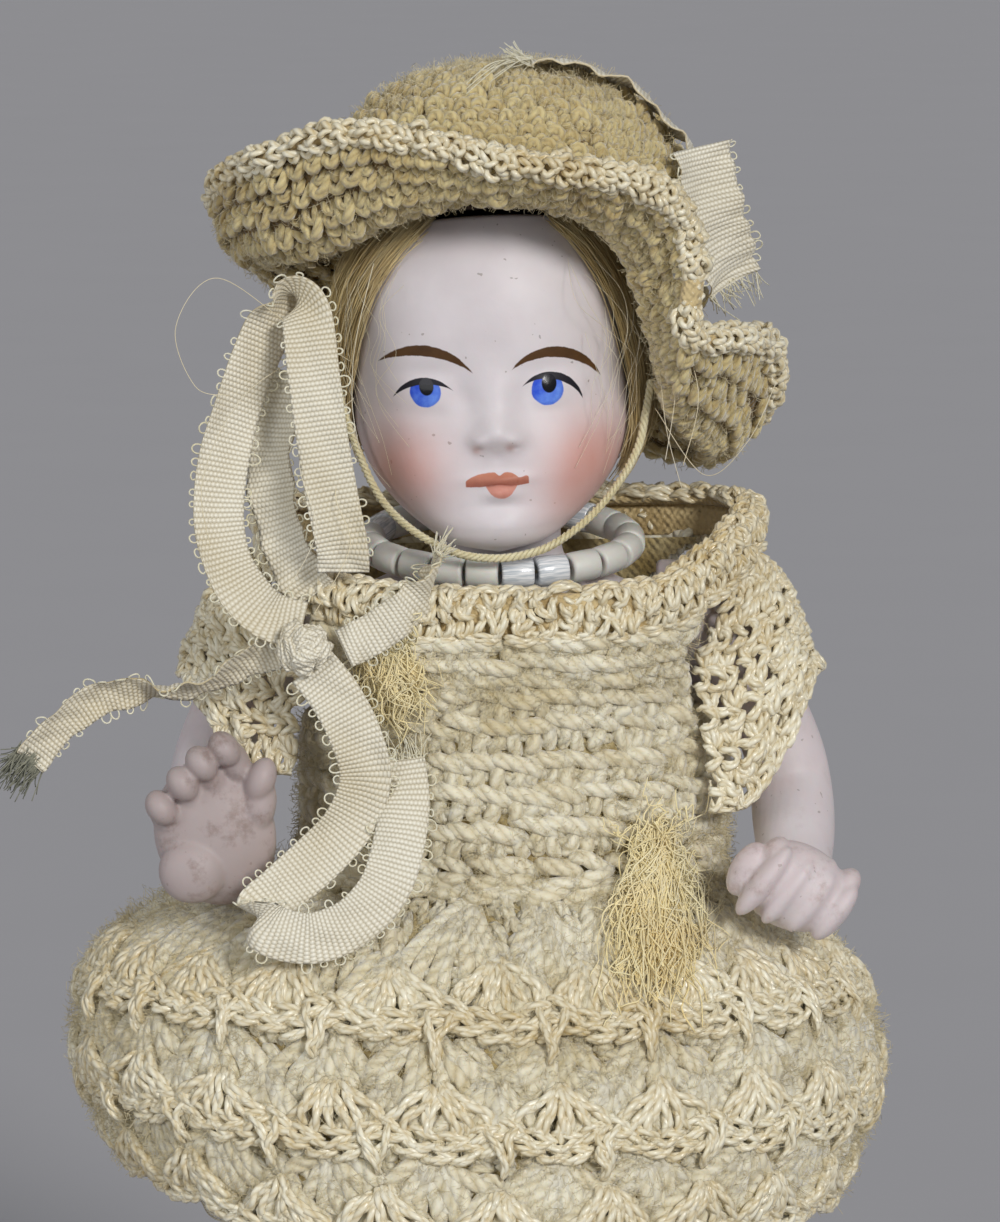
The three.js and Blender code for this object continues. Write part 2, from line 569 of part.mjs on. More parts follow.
function footPoint(azimuth) {
  const turn = (azimuth + TAU) % TAU;
  const weights = HAT_FOOT.map(([degrees]) => Math.max(Math.cos(turn - rad(degrees)), 0) ** 2);
  const z = HAT_FOOT.reduce((sum, [, height], k) => sum + height * weights[k], 0);
  const radius = HAT_CROWN[HAT_CROWN.length - 1][0];
  return V(HAT_CENTER[0] + radius * Math.sin(turn), HAT_CENTER[1] - radius * Math.cos(turn), z);
}

function makeHat() {
  const belly = loopCurve(BRIM_BELLY);
  const edge = loopCurve(BRIM_EDGE);
  const rows = [];
  const crownRows = HAT_CROWN.length - 1;
  const columns = Array.from({ length: HAT_COLUMNS }, (_, i) => {
    const mid = belly.getPoint(i / HAT_COLUMNS);
    const outermost = edge.getPoint(i / HAT_COLUMNS);
    const trim = mid.clone().sub(outermost).setLength(BRIM_TRIM);
    return { mid, outermost, lip: outermost.clone().add(trim), foot: footPoint(azimuthOf(mid)) };
  });
  HAT_CROWN.forEach(([radius, z], r) => {
    const low = r / crownRows;
    rows.push(columns.map(({ foot }) => {
      const turn = azimuthOf(foot);
      const drop = (foot.z - HAT_CROWN[crownRows][1]) * low ** 3;
      return V(HAT_CENTER[0] + radius * Math.sin(turn), HAT_CENTER[1] - radius * Math.cos(turn), z + drop);
    }));
  });
  for (const t of [0.25, 0.5, 0.75, 1]) {
    rows.push(columns.map(({ mid, lip, foot }) => {
      const pull = mid.clone().multiplyScalar(2).sub(foot.clone().add(lip).multiplyScalar(0.5));
      const control = pull.lerp(mid, 0.35);
      return foot.clone().multiplyScalar((1 - t) ** 2)
        .addScaledVector(control, 2 * t * (1 - t)).addScaledVector(lip, t ** 2);
    }));
  }
  addPiece('hat', shell(rows, HAT_THICKNESS, true), WOOL);
  const outward = columns.map(({ mid, outermost }) => outermost.clone().sub(mid).normalize());
  const beyond = HAT_EDGING_RADIUS + HAT_EDGING_CLEARANCE - BRIM_TRIM;
  const edgingLine = columns.map(({ outermost }, i) => {
    const near = [-1, 0, 1].map((k) => outward[(i + k + HAT_COLUMNS) % HAT_COLUMNS]);
    const out = near.reduce((sum, direction) => sum.add(direction), V()).normalize();
    return outermost.clone().addScaledVector(out, beyond);
  });
  addPiece('hat_edging', loopTube(edgingLine, HAT_EDGING_RADIUS, 5), SILK);
}

// A closed ring of round section through its points
function loopTube(points, radius, sides) {
  const size = points.length;
  const rings = points.map((p, k) => {
    const along = points[(k + 1) % size].clone().sub(points[(k + size - 1) % size]).normalize();
    const side = along.clone().cross(V(0, 0, 1)).normalize();
    const up = side.clone().cross(along);
    return Array.from({ length: sides }, (_, i) => p.clone()
      .addScaledVector(side, radius * Math.cos(TAU * i / sides))
      .addScaledVector(up, radius * Math.sin(TAU * i / sides)));
  });
  const faces = [];
  for (let k = 0; k < size; k++) {
    for (let i = 0; i < sides; i++) {
      const [a, b] = [k * sides + i, k * sides + ((i + 1) % sides)];
      const [c, d] = [((k + 1) % size) * sides + i, ((k + 1) % size) * sides + ((i + 1) % sides)];
      faces.push(a, b, d, a, d, c);
    }
  }
  return fromFaces(rings.flat(), faces);
}

// Ribbon: a flat band along stations [x, y, z, across x, across y, across z]
function ribbon(stations, width = RIBBON_WIDTH, perSpan = 3) {
  const middle = new THREE.CatmullRomCurve3(stations.map(([x, y, z]) => V(x, y, z)));
  const across = new THREE.CatmullRomCurve3(stations.map(([, , , a, b, c]) => V(a, b, c)));
  const steps = (stations.length - 1) * perSpan;
  const rows = Array.from({ length: steps + 1 }, (_, k) => {
    const p = middle.getPoint(k / steps);
    const side = across.getPoint(k / steps).normalize().multiplyScalar(width / 2);
    return [p.clone().sub(side), p, p.clone().add(side)];
  });
  return shell(rows, RIBBON_THICKNESS, false);
}

const BOW_LOOP = [
  [-16.4, -12.9, 88.6, -0.5, -0.4, -0.8], [-19.6, -12.9, 89.6, -0.6, -0.5, -0.7],
  [-22.2, -12.4, 92.6, -0.9, -0.4, -0.2], [-23.4, -11.4, 97, -0.95, -0.3, 0],
  [-23, -10.2, 102.5, -0.95, -0.3, 0.1], [-21.4, -9.4, 108, -0.9, -0.35, 0.25],
  [-19.4, -9.2, 112.9, -0.8, -0.5, 0.3], [-17.6, -9.9, 115.9, 0.1, -0.95, 0.3],
  [-16.1, -11.6, 114.5, 0.9, -0.1, 0.2], [-15.4, -13.2, 109.6, 0.98, 0, 0.15],
  [-14.7, -14, 104.4, 0.98, 0, 0.17], [-13.9, -14.4, 99.6, 0.97, 0, 0.22],
  [-13.1, -14.5, 95.6, 0.96, 0, 0.25], [-13, -13.9, 93.2, 0.95, 0, 0.2],
];
const INNER_LOOP = [
  [-18.2, -7.4, 109.4, 0.8, -0.5, 0.3], [-18.6, -8.0, 105.9, 0.85, -0.5, 0.1],
  [-19.1, -9.2, 101.5, 0.85, -0.5, 0], [-18.4, -10.2, 97, 0.85, -0.5, 0.2],
  [-17.0, -11, 93.4, 0.85, -0.4, 0.35], [-15.4, -11.4, 91, 0.8, -0.2, 0.5],
];
const CROSSING = [
  [-5.3, -13.2, 94.2, 0.4, 0, 0.9], [-6.4, -14.6, 91.4, 0.35, 0, 0.93],
  [-9.6, -15.2, 88.8, 0.45, 0.1, 0.88], [-13, -15.3, 87, 0.35, 0.2, 0.92],
];
const LONG_TAIL = [
  [-15.6, -14.6, 85.4, 0.75, 0, 0.65], [-13.6, -14.8, 82.8, 0.88, 0, 0.45],
  [-11.9, -14.9, 79.4, 0.96, 0, 0.25], [-11.2, -14.9, 75.8, 0.99, 0, -0.05],
  [-12.6, -14.9, 72.2, 0.85, 0, -0.5], [-15.4, -15.3, 69.2, 0.7, 0, -0.7],
  [-18.2, -16.1, 66.8, 0.6, 0, -0.8], [-19.9, -17.4, 65.1, 0.3, -0.6, -0.7],
  [-18.9, -18.8, 63.9, -0.3, -0.3, -0.9], [-15.6, -18.6, 63.2, -0.15, 0, -1],
  [-12.2, -18.2, 64.4, 0.3, 0, -0.95], [-9.6, -17.4, 67.2, 0.8, 0, -0.6],
  [-8.4, -16, 70.8, 0.97, 0, -0.2], [-8, -14.6, 74, 1, 0, 0], [-8.4, -13.7, 77.4, 1, 0, 0],
];
const LEFT_TAIL = [
  [-18.6, -12.9, 86.6, 0.4, -0.2, 0.9], [-21.6, -12.3, 85.2, 0.3, -0.5, 0.8],
  [-24.6, -11.9, 83.6, 0.2, -0.8, 0.5], [-27.4, -11.8, 83.0, 0.1, -0.9, 0.4],
  [-30.4, -11.9, 83.1, 0.1, -0.6, 0.8], [-33.8, -12.1, 82.2, 0.3, -0.2, 0.9],
  [-36.8, -12.4, 80, 0.6, 0, 0.8], [-39.4, -12.6, 77.2, 0.6, 0, 0.8],
];
const KNOT_CENTER = [-16.3, -15.2, 87.0];
const KNOT_RADII = [1.9, 1.3, 2.1];

function makeRibbons() {
  addPiece('ribbon_bow_loop', ribbon(BOW_LOOP), RIBBON);
  addPiece('ribbon_inner_loop', ribbon(INNER_LOOP, RIBBON_WIDTH, 2), RIBBON);
  addPiece('ribbon_crossing', ribbon(CROSSING, RIBBON_WIDTH * 0.8, 3), RIBBON);
  addPiece('ribbon_long_tail', ribbon(LONG_TAIL, RIBBON_WIDTH, 2), RIBBON);
  addPiece('ribbon_left_tail', ribbon(LEFT_TAIL, RIBBON_WIDTH * 0.7, 2), RIBBON);
  addPiece('ribbon_knot', blob(KNOT_CENTER, KNOT_RADII, [0, 30, 0], 8), RIBBON);
}

// Ribbon laid over the hat's crown, and its folded end at the side
const HAT_BAND = [
  [2.4, -3.6, 135.0, 0.1, -0.95, 0.1], [6.4, -3.2, 134.6, 0.15, -0.95, 0.12],
  [10.6, -2.8, 133.0, 0.15, -0.95, 0.1], [14.0, -2.4, 130.0, 0.1, -0.98, 0],
  [16.2, -2.0, 127.3, 0.05, -1, 0],
];
const HAT_FOLD_WIDTH = 5.6; // the ribbon's end is spread
const HAT_FOLD = [
  [17.3, -5.2, 127.2, 0.84, 0.54, 0], [17.6, -5.3, 124.2, 0.84, 0.54, 0], [18.1, -5.1, 121.0, 0.84, 0.5, 0.1],
  [18.9, -4.4, 118.4, 0.8, 0.6, 0.1], [19.4, -3.6, 116.2, 0.7, 0.7, 0.1],
];

function makeHatRibbon() {
  addPiece('hat_ribbon_band', ribbon(HAT_BAND), RIBBON);
  addPiece('hat_ribbon_fold', ribbon(HAT_FOLD, HAT_FOLD_WIDTH), RIBBON);
}

// Chin cord, from the hat's left side under the chin and up the right cheek
const CHIN_CORD = [
  [13.2, -5.6, 104.6], [12.6, -6.4, 102.6], [11.3, -7.6, 100.2], [9.0, -9.4, 97.0],
  [5.6, -11, 94.2], [2.6, -11.5, 93.1], [-0.6, -11.5, 92.9], [-3.8, -11.2, 93.6],
  [-7.2, -10.3, 95.8], [-10.0, -8.8, 98.8], [-12.4, -7.2, 102.6], [-14, -5.8, 107],
  [-14.7, -4.4, 111.2],
];

// Necklace: tube beads round the throat, threaded on one closed loop
function necklacePoint(turn) {
  return V(NECKLACE_HALF_WIDTH * Math.sin(turn), -NECKLACE_HALF_DEPTH * Math.cos(turn) - 0.2,
    lerp(NECKLACE_FRONT_Z, NECKLACE_BACK_Z, (1 - Math.cos(turn)) / 2));
}

function makeNecklace() {
  const samples = Array.from({ length: 64 }, (_, i) => necklacePoint(TAU * i / 64));
  const loop = new THREE.CatmullRomCurve3(samples, true);
  const spans = BEAD_COUNT * 2;
  const threadPoints = Array.from({ length: spans }, (_, i) => loop.getPointAt(i / spans));
  addPiece('necklace_thread', loopTube(threadPoints, BEAD_THREAD_RADIUS, 3), LINEN);
  for (let k = 0; k < BEAD_COUNT; k++) {
    const at = (k + 0.5) / BEAD_COUNT;
    const wall = [
      new THREE.Vector2(BEAD_HOLE_RADIUS, -BEAD_LENGTH / 2), new THREE.Vector2(BEAD_RADIUS, -BEAD_LENGTH / 2),
      new THREE.Vector2(BEAD_RADIUS, BEAD_LENGTH / 2), new THREE.Vector2(BEAD_HOLE_RADIUS, BEAD_LENGTH / 2),
      new THREE.Vector2(BEAD_HOLE_RADIUS, -BEAD_LENGTH / 2),
    ];
    const geometry = closeUp(new THREE.LatheGeometry(wall, 8));
    const finish = SATIN_BEADS.includes(k) ? SATIN_BEAD : GLASS_BEAD;
    const mesh = addPiece(`bead_${String(k + 1).padStart(2, '0')}`, geometry, finish);
    mesh.position.copy(loop.getPointAt(at));
    mesh.quaternion.setFromUnitVectors(V(0, 1, 0), loop.getTangentAt(at));
  }
}

// Dress: bodice rows [z, left x, right x, front y, back y], the neckline a loop above them
const BODICE_ROWS = [
  [66.4, -16.9, 18.9, -13.0, 12.6], [70, -16.8, 19.1, -13.1, 12.8], [76, -16.8, 19.1, -13.1, 12.8],
  [82, -16.6, 18.9, -13.1, 12.4],
];
const NECKLINE = [
  [0, -12.5, 90.3], [8, -12.2, 90.2], [13.6, -10.6, 90.7], [17.8, -7.4, 92.4], [20.3, -3, 94.6],
  [20.6, 2.4, 95.4], [17.4, 7.2, 95.4], [9, 10.2, 95], [0, 11, 94.8], [-8, 10.4, 94.6],
  [-15.4, 7.4, 94.8], [-19.2, 2.6, 95.2], [-19, -3, 94.6], [-16.6, -7.4, 92.2], [-12.6, -10.6, 90.6],
  [-7, -12.2, 90.2],
];
const DRESS_COLUMNS = 32;

function skewRing([z, left, right, front, back], columns, inset = 0, roundness = 1) {
  return Array.from({ length: columns }, (_, i) => {
    const turn = TAU * i / columns;
    const [s, c] = [power(Math.sin(turn), roundness), power(Math.cos(turn), roundness)];
    const x = s > 0 ? s * (right - inset) : -s * (left + inset);
    const y = c > 0 ? c * (front + inset) : -c * (back - inset);
    return V(x, y, z);
  });
}

function necklineRing(columns, drop) {
  const curve = loopCurve(NECKLINE);
  return Array.from({ length: columns }, (_, i) => curve.getPoint(i / columns).add(V(0, 0, -drop)));
}

function armholeTools() {
  const far = 40;
  return [-1, 1].map((side) => {
    const [a, b] = side > 0 ? [ARMHOLE_X, far] : [-far, -ARMHOLE_X];
    return rodAlongX(ARMHOLE_RADIUS, a, b, SHOULDER_Z, 32);
  });
}

function makeBodice() {
  const inset = DRESS_THICKNESS / 2;
  const rows = BODICE_ROWS.map((row) => skewRing(row, DRESS_COLUMNS, inset));
  const top = necklineRing(DRESS_COLUMNS, NECK_BAND_HEIGHT / 2 + GAP);
  const below = BODICE_ROWS[BODICE_ROWS.length - 1];
  const shoulder = skewRing(below, DRESS_COLUMNS, inset);
  rows.push(shoulder.map((p, i) => p.clone().lerp(top[i], 0.5)));
  rows.push(top);
  const bodice = cutBy(toSolid(shell(rows, DRESS_THICKNESS, true)), ...armholeTools());
  addPiece('dress_bodice', toGeometry(bodice), WOOL);
  const reach = NECK_BAND_HEIGHT / 2;
  const band = [-reach, reach].map((drop) => necklineRing(DRESS_COLUMNS, drop));
  addPiece('dress_neck_edging', shell(band, NECK_BAND_THICKNESS, true), SILK);
}

// Sleeves: a cap over each shoulder; rows [z, centre x, half width, half depth],
// z from the wire and x from the arm's inner face
const SLEEVE_ROWS = [
  [4.6, 6.3, 1.0, 1.5], [3.4, 6.2, 2.8, 3.3], [1.8, 6.2, 4.0, 4.5], [-0.4, 6.3, 5.0, 5.2],
  [-3.4, 6.5, 5.9, 5.8], [-7, 7.1, 6.2, 6.2], [-10.5, 7.5, 6.0, 6.4], [-14, 7.7, 5.6, 6.4],
  [-16.4, 7.7, 5.4, 6.2],
];

function sleeve(frontZ, outerZ, backZ) {
  const columns = 11;
  const reach = rad(84);
  const topZ = SLEEVE_ROWS[0][0];
  const steps = 5;
  return shell(Array.from({ length: steps + 1 }, (_, r) => Array.from({ length: columns }, (_, i) => {
    const turn = lerp(-reach, reach, i / (columns - 1));
    const forward = smooth(-turn, rad(20), reach);
    const backward = smooth(turn, rad(20), reach);
    const lowZ = outerZ + (frontZ - outerZ) * forward + (backZ - outerZ) * backward;
    const z = lerp(topZ, lowZ, r / steps);
    const [cx, ax, ay] = profile(SLEEVE_ROWS, z);
    return V(ARM_INNER_X + cx + ax * Math.cos(turn), ay * Math.sin(turn), SHOULDER_Z + z);
  })), SLEEVE_THICKNESS, false);
}

function makeSleeves() {
  addPiece('left_sleeve', sleeve(-15.6, -4, -11), SILK);
  const right = sleeve(-7.6, -3.5, -9);
  right.scale(-1, 1, 1);
  addPiece('right_sleeve', closeUp(right), SILK);
}

// Skirt rows [z, left x, right x, front y, back y]
const SKIRT_ROWS = [
  [66.0, -16.9, 18.9, -13.0, 12.6], [64.2, -22.5, 20.6, -14.6, 14.4], [62.2, -29.0, 23.6, -17.0, 17.2],
  [59.4, -33.2, 27.6, -19.6, 19.8], [56, -35.3, 30.4, -21.8, 22], [51.5, -36, 32.1, -23.8, 23.8],
  [47, -35.6, 31.9, -25.2, 25], [43, -34.2, 30.6, -26.1, 25.7], [39, -32.2, 28.8, -26.6, 26],
];
const SKIRT_COLUMNS = 2 * SHELL_COUNT;
const SKIRT_TOP_Z = SKIRT_ROWS[0][0];
const SKIRT_HEM_Z = SKIRT_ROWS[SKIRT_ROWS.length - 1][0];
const [UPPER_BAND_Z, LOWER_BAND_Z, HEM_BAND_Z] = [
  UPPER_BAND_TOP_Z, LOWER_BAND_TOP_Z, SKIRT_HEM_Z + SILK_BAND_HEIGHT,
].map((top) => [top, top - SILK_BAND_HEIGHT]);

// A point of the skirt's outer face; the doll's right side of the hem is lifted
function skirtPoint(turn, z, inset = 0) {
  const [left, right, front, back] = profile(SKIRT_ROWS, z);
  const [s, c] = [Math.sin(turn), Math.cos(turn)];
  const x = s > 0 ? s * (right - inset) : -s * (left + inset);
  const y = c > 0 ? c * (front + inset) : -c * (back - inset);
  const low = (SKIRT_TOP_Z - z) / (SKIRT_TOP_Z - SKIRT_HEM_Z);
  const lift = SKIRT_HEM_LIFT * smooth(-x, 14, 32) * low ** 2;
  const scallop = SHELL_DEPTH * (Math.abs(Math.sin(SHELL_COUNT * turn / 2)) - 0.5) * Math.max(low, 0) ** 4;
  return V(x, y, z + lift - scallop);
}

// A ring of the skirt's shape through the heights given
function skirtBand(heights, lift, thickness) {
  return shell(heights.map((z) => Array.from({ length: SKIRT_COLUMNS }, (_, i) => (
    skirtPoint(TAU * i / SKIRT_COLUMNS, z)
  ))), thickness, true, lift);
}

function makeSkirt() {
  const heights = [SKIRT_TOP_Z - 0.8, 62.4, ...UPPER_BAND_Z, ...LOWER_BAND_Z, ...HEM_BAND_Z];
  const skirt = skirtBand(heights, -SKIRT_THICKNESS / 2, SKIRT_THICKNESS);
  addPiece('skirt', skirt, WOOL);
  const lift = GAP + BAND_THICKNESS / 2;
  addPiece('silk_band_upper', skirtBand(UPPER_BAND_Z, lift, BAND_THICKNESS), SILK);
  addPiece('silk_band_lower', skirtBand(LOWER_BAND_Z, lift, BAND_THICKNESS), SILK);
  addPiece('hem_edging', skirtBand(HEM_BAND_Z, lift, BAND_THICKNESS), SILK);
}

// Petticoat: gathered net under the skirt, sewn to a narrow band at the waist
function waistRing() {
  const [half, front, back] = profile(TORSO_SLICES, WAISTBAND_TOP_Z - WAISTBAND_HEIGHT);
  const out = WAISTBAND_EASE + WAISTBAND_THICKNESS / 2;
  return { half: half + out, front: front - out, back: back + out };
}

function makePetticoat() {
  const waist = waistRing();
  const inset = SKIRT_THICKNESS + PETTICOAT_CLEARANCE + PETTICOAT_FOLD_DEPTH + PETTICOAT_THICKNESS / 2;
  const columns = PETTICOAT_FOLDS * 4;
  const steps = 6;
  const topZ = WAISTBAND_TOP_Z - WAISTBAND_HEIGHT - GAP;
  const rows = Array.from({ length: steps + 1 }, (_, r) => Array.from({ length: columns }, (_, i) => {
    const t = r / steps;
    const turn = TAU * i / columns;
    const fold = PETTICOAT_FOLD_DEPTH * Math.cos(PETTICOAT_FOLDS * turn) * t;
    const z = lerp(topZ, SKIRT_HEM_Z, t);
    const p = skirtPoint(turn, z, inset - fold);
    const gathered = V(waist.half * Math.sin(turn),
      Math.cos(turn) > 0 ? waist.front * Math.cos(turn) : -waist.back * Math.cos(turn), topZ);
    p.z -= PETTICOAT_DROP * t ** 2;
    return gathered.lerp(p, smooth(t, -0.1, 0.45));
  }));
  addPiece('petticoat', shell(rows, PETTICOAT_THICKNESS, true), NET);
  const band = [0, WAISTBAND_HEIGHT].map((down) => skewRing(
    [WAISTBAND_TOP_Z - down, -waist.half, waist.half, waist.front, waist.back], 24));
  addPiece('petticoat_waistband', shell(band, WAISTBAND_THICKNESS, true), LINEN);
}

// Tassels: flat tufts of floss that lie on the dress
function dressFront(x, z) {
  const isSkirt = z < SKIRT_TOP_Z;
  const [left, right, front] = isSkirt ? profile(SKIRT_ROWS, z) : profile(BODICE_ROWS, z);
  const side = x > 0 ? right : -left;
  return front * Math.sqrt(Math.max(1 - (x / side) ** 2, 0.05));
}

function tassel(stations, thickness) {
  const rows = stations.map(([x, z, half, lift]) => Array.from({ length: 5 }, (_, i) => {
    const px = lerp(x - half, x + half, i / 4);
    return V(px, dressFront(px, z) - lift - thickness / 2, z);
  }));
  return shell(rows, thickness, false);
}

function makeTassels() {
  addPiece('chest_tassel', tassel([
    [-9.3, 88, 0.9, SEAT + 2], [-9.4, 86.4, 2.2, SEAT + 1.7],
    [-9.4, 84.4, 2.9, SEAT + 1.1], [-9.3, 82.2, 2.4, SEAT + 0.6],
  ], 1.0), FLOSS);
  const outset = SEAT + BAND_THICKNESS + GAP;
  addPiece('waist_tassel', tassel([
    [12.4, 71, 1.0, SEAT], [12.6, 68.6, 2.6, SEAT], [12.9, 65.6, 4.2, outset + 0.9],
    [13.2, 63, 4.8, outset + 1.1], [13.2, 60.4, 4.6, outset + 0.9], [13, 58.4, 3.6, outset + 0.7],
  ], 1.1), FLOSS);
}

makeHeadAndTorso();
makeArms();
makeLegs();
makeWire('arm_wire', ARM_OUTER_X, SHOULDER_Z);
makeWire('leg_wire', LEG_OUTER_X + HIP_DOME, HIP_Z);
makeHair();
makeHat();
makeHatRibbon();
addPiece('chin_cord', tube(CHIN_CORD.map((p) => V(...p)), CHIN_CORD_RADIUS, 30, 4), SILK);
makeRibbons();
makeNecklace();
makeBodice();
makeSleeves();
makeSkirt();
makePetticoat();
makeTassels();

export default doll;
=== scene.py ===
# Looks for a small jointed bisque doll in a crocheted dress and hat.
# Shapes are worked out in millimetres from the doll's own centre line and then
# moved into the frame, in metres.
import json
import math

import bpy
import numpy as np
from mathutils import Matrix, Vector


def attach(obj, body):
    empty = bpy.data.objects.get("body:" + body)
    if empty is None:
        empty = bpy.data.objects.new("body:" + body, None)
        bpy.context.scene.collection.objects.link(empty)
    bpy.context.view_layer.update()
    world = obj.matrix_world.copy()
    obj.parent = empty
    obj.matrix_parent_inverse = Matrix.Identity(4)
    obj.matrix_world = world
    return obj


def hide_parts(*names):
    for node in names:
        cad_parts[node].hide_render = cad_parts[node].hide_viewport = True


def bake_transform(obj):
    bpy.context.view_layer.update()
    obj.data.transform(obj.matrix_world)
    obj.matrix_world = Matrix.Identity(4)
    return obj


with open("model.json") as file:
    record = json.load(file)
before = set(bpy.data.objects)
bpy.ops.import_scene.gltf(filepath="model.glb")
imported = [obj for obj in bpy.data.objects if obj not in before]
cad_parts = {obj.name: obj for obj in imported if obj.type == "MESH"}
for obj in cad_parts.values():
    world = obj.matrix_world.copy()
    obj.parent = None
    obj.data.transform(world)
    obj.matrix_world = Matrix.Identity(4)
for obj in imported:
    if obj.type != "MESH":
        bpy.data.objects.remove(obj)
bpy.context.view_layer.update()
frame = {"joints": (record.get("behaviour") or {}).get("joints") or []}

MM = 0.001
TAU = 2 * math.pi
chance = np.random.default_rng(11)

JOINTS = {joint["name"]: joint for joint in frame["joints"]}
LEFT_SHOULDER = np.array(JOINTS["left_shoulder"]["pos_m"]) / MM
RIGHT_SHOULDER = np.array(JOINTS["right_shoulder"]["pos_m"]) / MM
HIP = np.array(JOINTS["left_hip"]["pos_m"]) / MM
# The doll's centre line, midway between its shoulders
BODY_SHIFT = np.array([(LEFT_SHOULDER[0] + RIGHT_SHOULDER[0]) / 2, LEFT_SHOULDER[1], 0.0])
SHOULDER_Z = LEFT_SHOULDER[2]


# Camera: the photograph's pitch and framing, read from the picture
CAMERA_PITCH = math.radians(8)
CAMERA_DISTANCE = 600.0
CAMERA_TARGET = np.array([0.0, 0.0, 88.0])
PHOTO_WIDTH = 1000
PHOTO_SCALE = 0.085  # millimetres to a pixel at the target
SENSOR = 36.0


def in_scene(name, data):
    made = bpy.data.objects.new(name, data)
    bpy.context.scene.collection.objects.link(made)
    return made


def make_camera():
    data = bpy.data.cameras.new("camera")
    data.sensor_fit = "HORIZONTAL"
    data.sensor_width = SENSOR
    data.lens = SENSOR * CAMERA_DISTANCE / (PHOTO_WIDTH * PHOTO_SCALE)
    data.clip_start = 0.05
    data.clip_end = 30
    camera = in_scene("camera", data)
    back = np.array([0, -math.cos(CAMERA_PITCH), math.sin(CAMERA_PITCH)])
    camera.location = Vector((CAMERA_TARGET + BODY_SHIFT + back * CAMERA_DISTANCE) * MM)
    camera.rotation_euler = (math.pi / 2 - CAMERA_PITCH, 0, 0)
    bpy.context.scene.camera = camera


# Numbers along tables: rows whose first entry is a height, read as smooth curves
def profile(table, z):
    rows = np.array(table if table[-1][0] > table[0][0] else table[::-1], float)
    keys, values = rows[:, 0], rows[:, 1:]
    last = len(keys) - 1
    before = np.maximum(np.arange(last + 1) - 1, 0)
    after = np.minimum(np.arange(last + 1) + 1, last)
    slopes = (values[after] - values[before]) / (keys[after] - keys[before])[:, None]
    z = np.asarray(z, float)
    k = np.clip(np.searchsorted(keys, z, side="right") - 1, 0, last - 1)
    span = (keys[k + 1] - keys[k])[..., None]
    t = np.clip((z - keys[k])[..., None] / span, 0, 1)
    return ((2 * t**3 - 3 * t**2 + 1) * values[k] + (t**3 - 2 * t**2 + t) * slopes[k] * span
            + (3 * t**2 - 2 * t**3) * values[k + 1] + (t**3 - t**2) * slopes[k + 1] * span)


def signed_power(value, exponent):
    return np.sign(value) * np.abs(value) ** exponent


def ease(value, low, high):
    t = np.clip((value - low) / (high - low), 0, 1)
    return t * t * (3 - 2 * t)


TINY = 1e-12


def unit(vectors):
    """Vectors of length 1; one so short that it is only rounding becomes exactly 0."""
    size = np.linalg.norm(vectors, axis=-1, keepdims=True)
    return np.where(size > TINY, vectors / (size + TINY), 0.0)


def full_turn(count):
    """Angles that share a full turn equally."""
    return np.arange(count) / count * TAU


def lengths_along(path):
    """How far each point of a path, or of each path in a stack, lies from its start."""
    gaps = np.linalg.norm(np.diff(path, axis=-2), axis=-1)
    return np.concatenate([np.zeros_like(gaps[..., :1]), np.cumsum(gaps, axis=-1)], -1)


def axes_across(path, hint):
    """Two directions square to a path, the first also square to the hint."""
    along = unit(np.gradient(path, axis=-2))
    side = unit(np.cross(along, hint))
    return side, np.cross(side, along)


def oval(turn, middle, half, depth, fullness):
    """x from the centre and y of a slice; a fullness below 1 squares it."""
    return half * signed_power(np.sin(turn), fullness), middle - depth * signed_power(np.cos(turn), fullness)


def skewed(turn, left, right, front, back, inset):
    """x and y of a ring whose four sides lie at their own distances."""
    s, c = np.sin(turn), np.cos(turn)
    x = np.where(s > 0, s * (right - inset), -s * (left + inset))
    y = np.where(c > 0, c * (front + inset), -c * (back - inset))
    return x, y


# Smooth curves: Catmull-Rom weights at a place between four points
def spline_weights(t):
    return 0.5 * np.stack([-t + 2 * t**2 - t**3, 2 - 5 * t**2 + 3 * t**3,
                           t + 4 * t**2 - 3 * t**3, -t**2 + t**3], axis=-1)


def spline_places(at, count, closed):
    if closed:
        base = np.floor(at).astype(int)
        index = (base[..., None] + np.arange(-1, 3)) % count
    else:
        at = np.clip(at, 0, count - 1)
        base = np.minimum(np.floor(at).astype(int), count - 2)
        index = np.clip(base[..., None] + np.arange(-1, 3), 0, count - 1)
    return index, spline_weights(at - base)


def smooth_path(points, steps, closed=False):
    points = np.asarray(points, float)
    count = points.shape[-2]
    at = np.arange(steps) / steps * count if closed else np.linspace(0, count - 1, steps)
    index, weights = spline_places(at, count, closed)
    return np.einsum("sk,...skd->...sd", weights, points[..., index, :])


